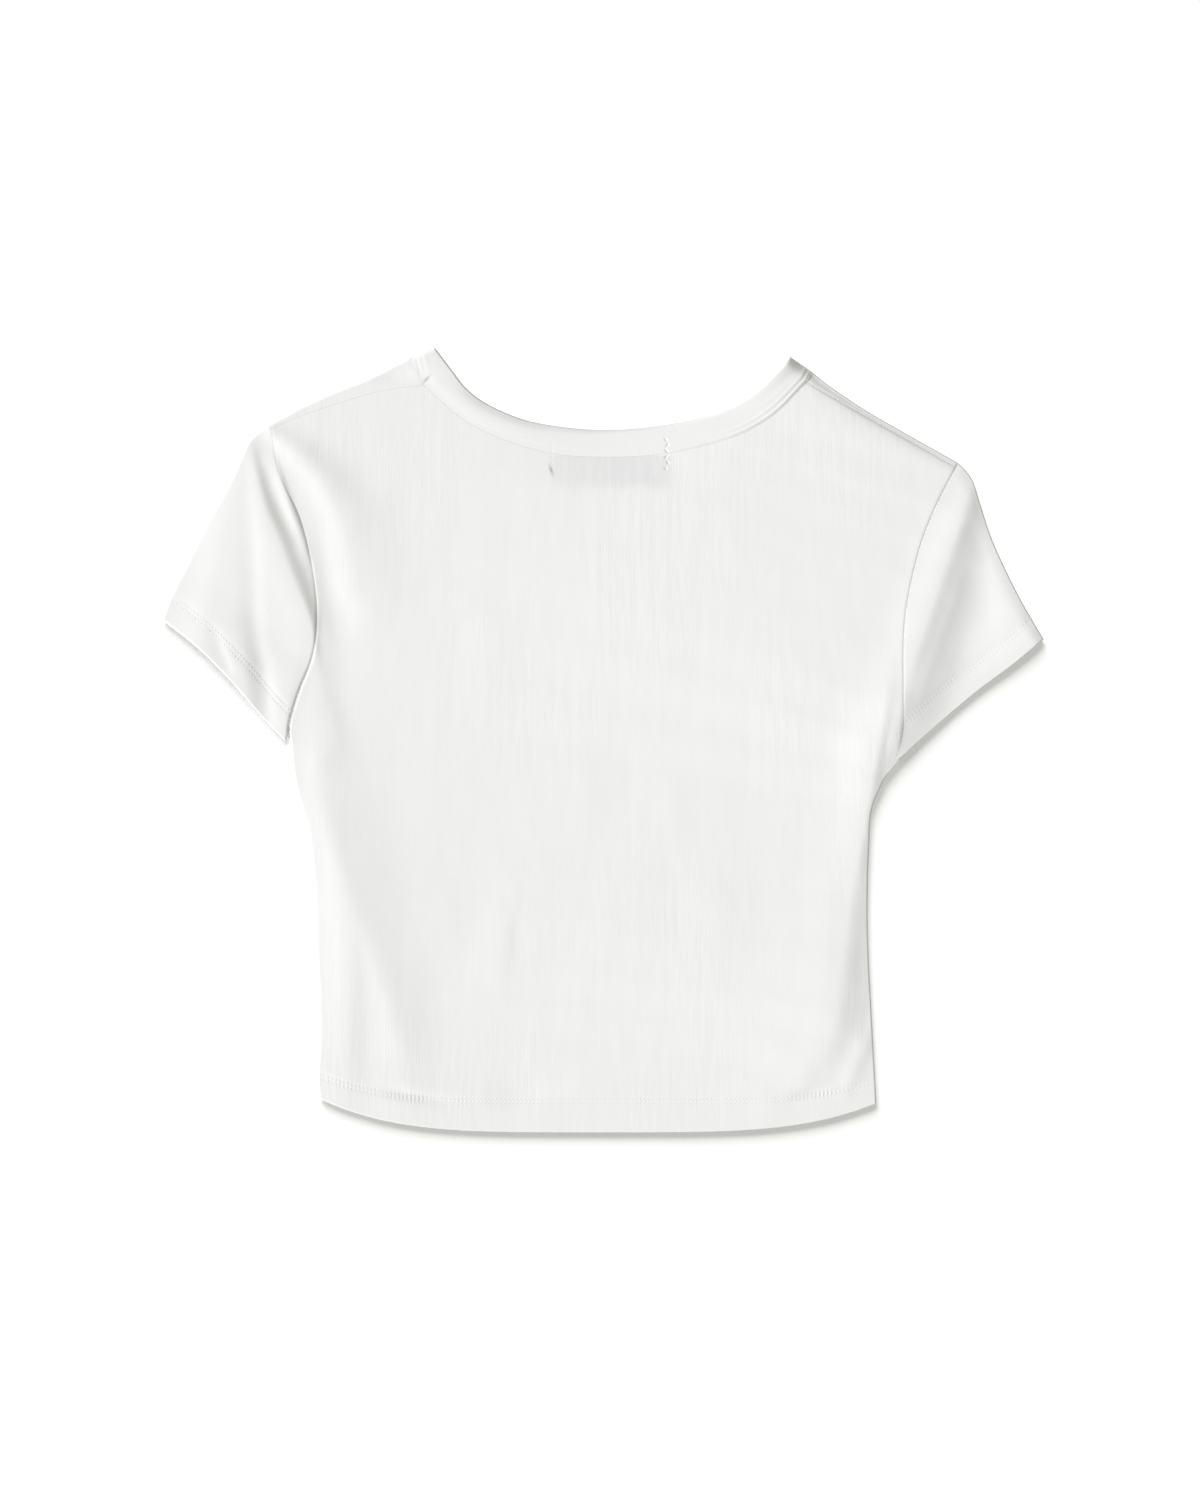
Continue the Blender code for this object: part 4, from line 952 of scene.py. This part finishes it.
def add_binding(material):
    """The neck binding: a folded band round the neck that turns over both shoulder folds.

    Across the band the upper face has two topstitched ridges, and it falls to its free edge only
    where it lies flat, by a high power of the sine of its turn.
    """
    seam, edge, turn, upper = binding_stations()
    stations = len(turn)
    ridge, roll, roll_reach, step = (
        round_neck(values, stations)
        for values in (BINDING_RIDGE_RISE, BINDING_ROLL, BINDING_ROLL_REACH, BINDING_STEP))
    seam = seam + unit(edge - seam) * SEAM_GAP / 2.0
    width = np.linalg.norm(edge - seam, axis=1)[:, None]
    share = (1.0 - np.cos(np.linspace(0.0, math.pi, BINDING_ACROSS))) / 2.0
    across = share[None, :, None]
    plan = seam[:, None] * (1.0 - across) + edge[:, None] * across
    from_seam = width * share[None]
    from_edge = width - from_seam
    ridges = ridge / 1000.0 * sum(bell((from_seam - place) / reach) for place, reach in BINDING_RIDGES)
    sunk = np.where(upper, outer_dip(plan[..., 0], plan[..., 1]) - ridges, 0.0)
    rounding = np.minimum(edge_round(from_edge, BINDING_ROUND), BINDING_ROUND_MOST)
    swell = (BINDING_WALL - WALL) * (step + (1.0 - step) * smooth_step(from_seam / BINDING_SWELL_REACH))
    fall = roll / 1000.0 * bell(from_edge * 1000.0 / roll_reach) * np.sin(turn) ** BINDING_ROLL_FLAT
    inward = binding_inward(plan.shape[:2], across, stations // 2)
    outer, inner = wall_points(plan, inward, turn, upper, BINDING_WALL, BINDING_LEVEL,
                               extra=swell - fall, sunk=sunk, rounding=rounding)
    ring = np.concatenate([outer, inner[:, ::-1]], axis=1)
    around = ring.shape[1]
    quads = (net_quads(np.ones((stations, around), bool), closed=True) % (stations * around))[:, ::-1]
    way = lengths(np.vstack([edge, edge[:1]]))
    station = quads // around
    closing = (station.max(axis=1) == stations - 1)[:, None]
    station = np.where((station == 0) & closing, stations, station)
    aside = np.concatenate([from_seam, from_seam[:, ::-1]], axis=1).ravel()[quads]
    wales = np.stack([way[station], aside], axis=-1)
    return add_mesh("neck_band", ring.reshape(-1, 3), quads, material, {"wales": wales, "edge": wales})


# ================================================================ materials
class Value:
    """A shader socket that takes part in arithmetic: every operator adds its own Math node."""

    def __init__(self, recipe, socket):
        self.recipe = recipe
        self.socket = socket

    def math(self, operation, *others, clamp=False):
        return self.recipe.node("ShaderNodeMath", {"operation": operation, "use_clamp": clamp},
                                dict(enumerate((self, *others))))

    def __add__(self, other):
        return self.math("ADD", other)

    def __sub__(self, other):
        return self.math("SUBTRACT", other)

    def __rsub__(self, other):
        return self.recipe.node("ShaderNodeMath", {"operation": "SUBTRACT"}, {0: other, 1: self})

    def __mul__(self, other):
        return self.math("MULTIPLY", other)

    def __truediv__(self, other):
        return self.math("DIVIDE", other)

    __radd__ = __add__
    __rmul__ = __mul__

    def bell(self):
        """exp(-value squared)."""
        return (self * self * -1.0).math("EXPONENT")

    def sine(self):
        return self.math("SINE")

    def turns(self, length):
        """Angle in radians that goes once round in this length."""
        return self * (2.0 * math.pi / length)

    def within(self, low, high):
        """0 below low, 1 above high and a smooth S between."""
        return self.recipe.node("ShaderNodeMapRange", {"interpolation_type": "SMOOTHSTEP"},
                                {"Value": self, "From Min": low, "From Max": high})

    def band(self, rise, fall):
        """1 between two smooth steps, each given by where it begins and ends."""
        return self.within(*rise) - self.within(*fall)


class Recipe:
    """One node material: node() adds any node, with its settings first and its sockets after."""

    def __init__(self, name):
        self.material = bpy.data.materials.new(name)
        self.material.use_nodes = True
        self.tree = self.material.node_tree
        self.tree.nodes.clear()

    def node(self, kind, settings=None, sockets=None, output=0):
        made = self.tree.nodes.new(kind)
        for name, value in (settings or {}).items():
            setattr(made, name, value)
        for name, value in (sockets or {}).items():
            if isinstance(value, Value):
                self.tree.links.new(value.socket, made.inputs[name])
            else:
                made.inputs[name].default_value = value
        return Value(self, made.outputs[output]) if made.outputs else None

    def axes(self, vector):
        """x, y and z of a vector."""
        made = self.node("ShaderNodeSeparateXYZ", None, {0: vector}).socket.node
        return [Value(self, made.outputs[axis]) for axis in range(3)]

    def map(self, name):
        """The two numbers of one of the mesh's own maps."""
        return self.axes(self.node("ShaderNodeUVMap", {"uv_map": name}))[:2]

    def place(self):
        """x and y of the place itself."""
        return self.axes(self.node("ShaderNodeTexCoord", output="Object"))[:2]

    def noise(self, grain, across, along):
        """Soft noise from 0 to 1 with this grain."""
        place = self.node("ShaderNodeCombineXYZ", None,
                          {0: across * grain.across, 1: along * grain.along, 2: grain.layer})
        return self.node("ShaderNodeTexNoise", None,
                         {"Vector": place, "Scale": 1.0, "Detail": grain.detail,
                          "Roughness": grain.roughness})

    def mix(self, share, first, second):
        """Colour that goes from first to second."""
        return self.node("ShaderNodeMix", {"data_type": "RGBA"}, {0: share, 6: first, 7: second}, 2)

    def bump(self, height, distance, strength=1.0):
        """Normal of the surface with this relief on it."""
        return self.node("ShaderNodeBump", None,
                         {"Strength": strength, "Distance": distance, "Height": height})

    def finish(self, sockets):
        """The finished material, with these on its surface."""
        surface = self.node("ShaderNodeBsdfPrincipled", None, sockets)
        self.node("ShaderNodeOutputMaterial", None, {"Surface": surface})
        return self.material


WALE = 0.00150               # distance between the knit's ribs
KNIT_RELIEF = 0.00003        # what a height of 1 stands for, in all that follow
RIB_HEIGHT = 0.10
SLUB_HEIGHT = 0.40
LOOP_HEIGHT = 0.10
SWELL_HEIGHT = 9.0
RIGHT_PIT_DEPTH = 4.5
LEFT_PIT_DEPTH = 2.0
TUCK_DEPTH = 1.5
RIB_BEND = 9.0               # radians by which noise shifts a rib
BODY_WHITE = (0.845, 0.845, 0.832, 1.0)
# the yarn's own uneven tone along the slubs, and painted shade in the rib grooves
BODY_TONE_AND_GROOVE_SHADE = (0.820, 0.820, 0.803, 1.0)
LABEL_SHADE = (0.770, 0.762, 0.760, 1.0)
# painted shade in the pinches of the needle rows
NEEDLE_ROW_SHADE = (0.66, 0.65, 0.63, 1.0)
TUCK_SHADE = (0.52, 0.51, 0.49, 1.0)
THREAD_WHITE = (0.82, 0.82, 0.80, 1.0)
FLOOR_WHITE = (0.90, 0.90, 0.90, 1.0)

# Noises of the knit: grains to the metre across and along the ribs, and a layer of their own each.
Grain = namedtuple("Grain", "across along layer detail roughness")
DRIFT = Grain(60.0, 11.0, 3.0, 2.0, 0.5)          # bends the ribs,
FADING = Grain(26.0, 15.0, 21.0, 3.0, 0.5)        # and lets them fade in places
SLUBS = Grain(620.0, 52.0, 0.0, 3.0, 0.6)
LOOPS = Grain(1500.0, 1100.0, 5.0, 1.0, 0.5)
PULLS = Grain(200.0, 26.0, 9.0, 3.0, 0.6)         # fine wrinkles along the ribs,
PATCHES = Grain(12.0, 8.0, 14.0, 2.0, 0.5)        # stronger in patches
SWELLS = Grain(34.0, 12.0, 17.0, 2.0, 0.5)
PINCHING = Grain(38.0, 0.0, 30.0, 2.0, 0.5)       # how hard a needle row is drawn in along it

# Needle rows: where they pucker more, in x, and how wide the pinches and their painted shade are across.
Pucker = namedtuple("Pucker", "place reach depth")
PUCKERS = (Pucker(-0.1000, 0.0240, 1.0), Pucker(0.1120, 0.0160, 0.6))
PINCH_REACH = 0.0022
PINCH_SHADE_REACH = 0.0019

# The label inside the back neck: its shade, and the two short lines where its ends are sewn
# through.  A step in x or y is given by where it begins and ends.
SewnLine = namedtuple("SewnLine", "x reach low high")
LABEL_LEFT = SewnLine(-0.0275, 0.0008, (0.1400, 0.1440), (0.1570, 0.1590))
LABEL_RIGHT = SewnLine(0.0333, 0.0007, (0.1415, 0.1430), (0.1585, 0.1600))
LABEL_BEAT = 0.0031          # from one pit of the lines to the next
LABEL_WEAVE = 0.0052         # length of the right line's waves,
LABEL_WEAVE_ASIDE = 0.0007   # and how far they go aside
SHADE_SIDES = ((-0.0300, -0.0250), (0.0330, 0.0380))
SHADE_TOP = (0.1500, 0.1506)
SHADE_FOOT = 0.1290          # y of its lower edge, which is soft and uneven
SHADE_FOOT_STEP = (-0.0050, 0.0040)
SHADE_MIDDLE = 0.0140        # x where it is darkest, and how far that reaches
SHADE_REACH = 0.0240

# Tucks in the seams, pressed in and darkened with painted shade: their middles, and how far
# they reach across and along.  The one in the neck corner runs diagonally, so these are the
# reach of x - y and of x + y.
LABEL_TUCK = Point(-0.0278, 0.1425)
LABEL_TUCK_REACH = Point(0.0009, 0.0026)
LABEL_TUCK_LEAN = 0.3
CORNER_TUCK = Point(-0.0937, 0.1907)
CORNER_TUCK_REACH = Point(0.0008, 0.0034)


def sewn_marks(recipe):
    """Pits down two short lines where the ends of the label are sewn through, the right one in
    waves, and two tucks in the cloth, beside the left line and in the left neck corner.

    Gives the depth of all of them, and the tucks alone from 0 to 1, which also says where their painted
    shade goes.
    """
    x, y = recipe.place()
    beat = y.turns(LABEL_BEAT).sine()
    weave = (y.turns(LABEL_WEAVE) + 1.0).sine() * LABEL_WEAVE_ASIDE
    right, left = (((x - line.x - aside) / line.reach).bell() * y.band(line.low, line.high)
                   for line, aside in ((LABEL_RIGHT, weave), (LABEL_LEFT, 0.0)))
    above = y - LABEL_TUCK.y
    tuck = (((x - LABEL_TUCK.x + above * LABEL_TUCK_LEAN) / LABEL_TUCK_REACH.x).bell()
            * (above / LABEL_TUCK_REACH.y).bell())
    corner = (((x - y - (CORNER_TUCK.x - CORNER_TUCK.y)) / CORNER_TUCK_REACH.x).bell()
              * ((x + y - (CORNER_TUCK.x + CORNER_TUCK.y)) / CORNER_TUCK_REACH.y).bell())
    tucks = tuck + corner
    pits = right * (beat * 0.7 + 0.8) * RIGHT_PIT_DEPTH + left * (beat * 0.3 + 0.4) * LEFT_PIT_DEPTH
    return pits + tucks * TUCK_DEPTH, tucks


def label_shade(recipe, pulls, slubs):
    """How much the label inside shades the cloth, from 0 to 1: a box, darkest in its middle."""
    x, y = recipe.place()
    from_foot = y - (pulls * 0.0100 + SHADE_FOOT)
    box = x.band(*SHADE_SIDES) * (from_foot.within(*SHADE_FOOT_STEP) - y.within(*SHADE_TOP))
    darker = ((x - SHADE_MIDDLE) / SHADE_REACH).bell() * 0.5 + 0.7
    return box * darker * (slubs.within(0.3, 0.7) * 0.5 + 0.6)


def needle_rows(recipe):
    """Pinches between the stitches of the needle rows, as heights, and the painted shade in them, from 0
    to 1.
    """
    sewn_along, sewn_in = recipe.map("edge")
    from_rows = sewn_in - ROW_MIDDLE
    uneven = recipe.noise(PINCHING, sewn_along, 0.0).within(0.35, 0.65) * 1.2 + 0.1
    puckered = sum(((sewn_along - pucker.place) / pucker.reach).bell() * pucker.depth
                   for pucker in PUCKERS)
    pinch = sewn_along.turns(STITCH_PITCH).sine() * (puckered + 0.35) * uneven
    pinches = pinch * (from_rows / PINCH_REACH).bell()
    return pinches, pinch.within(0.15, 0.9) * (from_rows / PINCH_SHADE_REACH).bell()


def knit(name, pulled, pinched, shade=False, marks_and_tuck_shade=False):
    """White rib knit: uneven ribs along the wales, slubs, fine pulled wrinkles and pinched hems.

    Height = ribs (sine of the distance across them, made uneven by noise) + slubs (noise drawn
    out along the ribs) + loops + pulls (coarser noise in patches, drawn out further) + swells +
    pinches in the needle rows.  pulled and pinched scale the last three, and pinched also the
    painted shade in the needle rows.  The colour varies at random with the slubs and darkens
    slightly with painted shade in the rib grooves, where there is a label's shade, and in the
    tucks beside the sewn marks.
    """
    recipe = Recipe(name)
    across, way = recipe.map("wales")
    drift, fading, slubs, loops, pulls, patches, swells = (
        recipe.noise(grain, across, way)
        for grain in (DRIFT, FADING, SLUBS, LOOPS, PULLS, PATCHES, SWELLS))
    ribs = (across.turns(WALE) + drift * RIB_BEND).sine() * (fading.within(0.38, 0.62) + 0.15)
    pinches, pinch_shade = needle_rows(recipe)
    height = (ribs * RIB_HEIGHT + slubs * SLUB_HEIGHT + loops * LOOP_HEIGHT
              + pulls * (patches.within(0.42, 0.62) * 3.0 + 0.6) * pulled
              + swells * SWELL_HEIGHT * pulled + pinches * pinched)
    # share of white: lower along thin slubs, the yarn's own tone, and in the rib grooves, painted shade
    slub_tone_and_rib_shade = (slubs.within(0.25, 0.5) * 0.6 + ribs * 0.1 + 0.3).math("ADD", 0.0, clamp=True)
    base = recipe.mix(slub_tone_and_rib_shade, BODY_TONE_AND_GROOVE_SHADE, BODY_WHITE)
    if shade:
        base = recipe.mix(label_shade(recipe, pulls, slubs), base, LABEL_SHADE)
    if marks_and_tuck_shade:
        pits, tucks = sewn_marks(recipe)
        height = height - pits
        # painted shade in the tucks
        base = recipe.mix(tucks, base, TUCK_SHADE)
    # painted shade in the pinches of the needle rows
    base = recipe.mix(pinch_shade * 0.8 * min(pinched, 1.0), base, NEEDLE_ROW_SHADE)
    return recipe.finish({"Base Color": base, "Normal": recipe.bump(height, KNIT_RELIEF),
                          "Roughness": 0.9, "Sheen Weight": 0.06, "Sheen Roughness": 0.5,
                          "Specular IOR Level": 0.2})


def thread_material():
    """Sewing thread: white, a little smoother than the knit, with a fine twist."""
    recipe = Recipe("sewing_thread")
    x, y = recipe.place()
    twist = ((x + y) * THREAD_TWIST).sine()
    return recipe.finish({"Base Color": THREAD_WHITE, "Roughness": 0.6,
                          "Normal": recipe.bump(twist, THREAD_RELIEF, 0.6)})


def floor_material():
    """Plain white surface, lit a little by itself so that it stays white."""
    return Recipe("white_surface").finish({
        "Base Color": FLOOR_WHITE, "Roughness": 0.95,
        "Emission Color": (1.0, 1.0, 1.0, 1.0), "Emission Strength": FLOOR_GLOW})


# ================================================================ sewing
THREAD = 0.00024             # thickness of the sewing thread
THREAD_TWIST = 9000.0        # radians to the metre
THREAD_RELIEF = 0.00005
STITCH_LENGTH = 0.0017
CAPSULE_RINGS = np.array([-1.0, -0.72, 0.0, 0.72, 1.0])   # places along half a stitch,
CAPSULE_GIRTH = np.array([0.35, 0.9, 1.0, 0.9, 0.35])     # and how thick it is there
CAPSULE_SIDES = 6
CAPSULE_PROUD = 0.2          # how far its middle lies above the cloth, in thicknesses,
CAPSULE_DIP = 0.7            # and how much lower its ends
HEM_STITCHED = np.linspace(0.012, 0.988, 160)             # shares of the hem's width


def add_stitches(name, rows, material):
    """Threads laid along rows of stitches.

    Each row gives the middle points of its stitches in plan, their direction, the height of the
    cloth and +1 or -1 for the side they lie on.  A stitch is a small capsule: five rings of six
    points, thinner at its ends, which also dip into the cloth.
    """
    angle = np.arange(CAPSULE_SIDES) * 2.0 * math.pi / CAPSULE_SIDES
    reach = CAPSULE_RINGS[None, :, None] * STITCH_LENGTH / 2.0
    girth = CAPSULE_GIRTH[None, :, None] * THREAD / 2.0
    dip = THREAD * CAPSULE_DIP * CAPSULE_RINGS[None, :, None] ** 2
    meshes = []
    for middle, ahead, height, up in rows:
        aside = np.stack([-ahead[:, 1], ahead[:, 0]], axis=1)
        flat = (middle[:, None, None] + ahead[:, None, None] * reach[..., None]
                + aside[:, None, None] * (girth * np.cos(angle)[None, None])[..., None])
        level = (height[:, None, None]
                 + up * (girth * np.sin(angle)[None, None] + THREAD * CAPSULE_PROUD - dip))
        meshes.append(np.concatenate([flat, level[..., None]], axis=-1).reshape(-1, 3))
    points = np.vstack(meshes)
    per_stitch = len(CAPSULE_RINGS) * CAPSULE_SIDES
    last = per_stitch - CAPSULE_SIDES
    ring = np.arange(0, last, CAPSULE_SIDES)[:, None]
    side = np.arange(CAPSULE_SIDES)[None]
    after = (side + 1) % CAPSULE_SIDES
    tube = np.stack([ring + side, ring + after, ring + CAPSULE_SIDES + after,
                     ring + CAPSULE_SIDES + side], axis=-1).reshape(-1, 4)
    caps = np.array([[0, 3, 2, 1], [0, 5, 4, 3], [last, last + 1, last + 2, last + 3],
                     [last, last + 3, last + 4, last + 5]])
    stitch = np.vstack([tube, caps])[:, ::-1]
    first = np.arange(0, len(points), per_stitch)
    faces = (stitch[None] + first[:, None, None]).reshape(-1, 4)
    return add_mesh(name, points, faces, material, {"wales": np.zeros((len(points), 2))})


def stitch_row(path, height_of, up):
    """Evenly spaced stitches along a line in plan."""
    way = np.arange(STITCH_PITCH / 2.0, lengths(path)[-1] - STITCH_PITCH / 2.0, STITCH_PITCH)
    middle = along(path, way)
    ahead = unit(along(path, way + STITCH_PITCH / 4.0) - along(path, way - STITCH_PITCH / 4.0))
    return middle, ahead, height_of(middle[:, 0], middle[:, 1]), up


def both_rows(above, below):
    """A row of stitches on the upper face and one on the lower face, along their lines in plan."""
    return [stitch_row(above, lambda x, y: top_height(x, y) - STITCH_TRENCH, 1.0),
            stitch_row(below, lambda x, y: bottom_height(x, y) + STITCH_TRENCH, -1.0)]


def hem_stitches(material):
    """Two needle rows round the body's hem, above and below."""
    rows = []
    for distance in STITCH_ROWS:
        line = np.column_stack([HEM_LEFT + (HEM_RIGHT - HEM_LEFT) * HEM_STITCHED,
                                hem_height(HEM_STITCHED) + distance + row_bow(HEM_STITCHED)])
        rows += both_rows(line, line + (0.0, FRONT_SHORTER))
    return add_stitches("hem_stitches", rows, material)


def cuff_stitches(side, material):
    """Two needle rows round a cuff, above and below, as far as the folds let them go."""
    rows = []
    path = CUFF_PATH[side]
    inwards = unit(SLEEVE_PATH[side][0] - path[-1])
    for distance in STITCH_ROWS:
        line = path + inwards * distance
        keep = np.ones(len(line), bool)
        for other in (SLEEVE_PATH[side], ARMHOLE_PATH[side]):
            keep &= distance_to(other, line[:, 0], line[:, 1]) > FOLD_RADIUS
        rows += both_rows(line[keep], line[keep])
    return add_stitches(side + "_cuff_stitches", rows, material)


# ================================================================ the dressed shirt
knit_body = knit("body_knit_white", pulled=1.0, pinched=1.3, shade=True, marks_and_tuck_shade=True)
knit_sleeve = knit("sleeve_knit_white", pulled=0.6, pinched=0.8)
knit_binding = knit("binding_knit_white", pulled=0.3, pinched=0.0, marks_and_tuck_shade=True)
thread = thread_material()

back = add_back(knit_body)
front = add_front(knit_body)
sleeves = {side: add_sleeve(side, knit_sleeve) for side in SIDES}
binding = add_binding(knit_binding)
stitched_hem = hem_stitches(thread)
stitched_cuffs = {side: cuff_stitches(side, thread) for side in SIDES}

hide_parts("back_body")
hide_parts("front_body")
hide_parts("neck_binding")
for side in SIDES:
    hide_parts("sleeve_" + side)

for piece, slot in ((back, "body_knit"), (front, "body_knit"), (binding, "binding_knit"),
                    (stitched_hem, "body_knit"), *((sleeves[side], "sleeve_knit") for side in SIDES),
                    *((stitched_cuffs[side], "sleeve_knit") for side in SIDES)):
    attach(piece, "root")


# ================================================================ floor, light and camera
def add_floor():
    """A large flat surface just under the shirt."""
    half = FLOOR_SIZE / 2.0
    mesh = bpy.data.meshes.new("floor")
    mesh.from_pydata([(-half, -half, 0.0), (half, -half, 0.0), (half, half, 0.0), (-half, half, 0.0)],
                     [], [(0, 1, 2, 3)])
    mesh.materials.append(floor_material())
    floor = bpy.data.objects.new("floor", mesh)
    bpy.context.scene.collection.objects.link(floor)
    floor.location.z = -FLOOR_BELOW
    return floor


def add_lamp(name, source, strength, colour, angle, lit):
    """A broad soft light from one direction that lights only the given pieces."""
    lamp = bpy.data.lights.new(name, "SUN")
    lamp.energy = strength
    lamp.color = colour
    lamp.angle = angle
    light = bpy.data.objects.new(name, lamp)
    bpy.context.scene.collection.objects.link(light)
    light.rotation_euler = Vector(source).to_track_quat("Z", "Y").to_euler()
    group = bpy.data.collections.new(name + "_on")
    for piece in lit:
        group.objects.link(piece)
    light.light_linking.receiver_collection = group


def add_lights(floor, shirt):
    """A low key light over the shirt, a higher one for the surface, and even light all round."""
    add_lamp("studio_key", KEY_FROM, KEY_STRENGTH, KEY_COLOUR, KEY_ANGLE, shirt)
    add_lamp("studio_floor_light", FLOOR_LIGHT_FROM, FLOOR_LIGHT_STRENGTH, (1.0, 1.0, 1.0),
             FLOOR_LIGHT_ANGLE, [floor])
    world = bpy.data.worlds.new("studio")
    world.use_nodes = True
    background = world.node_tree.nodes["Background"]
    background.inputs["Color"].default_value = (*AMBIENT, 1.0)
    background.inputs["Strength"].default_value = AMBIENT_STRENGTH
    bpy.context.scene.world = world
    bpy.context.scene.view_settings.view_transform = "Standard"


def add_camera():
    """Straight above, far enough for the frame to cover VIEW_HEIGHT."""
    lens = bpy.data.cameras.new("camera")
    lens.lens = LENS
    lens.sensor_width = SENSOR
    camera = bpy.data.objects.new("camera", lens)
    bpy.context.scene.collection.objects.link(camera)
    camera.location = (VIEW_CENTRE.x, VIEW_CENTRE.y, VIEW_HEIGHT * LENS / SENSOR)
    bpy.context.scene.camera = camera


add_lights(add_floor(), [back, front, binding, stitched_hem, *stitched_cuffs.values(),
                         *sleeves.values()])
add_camera()
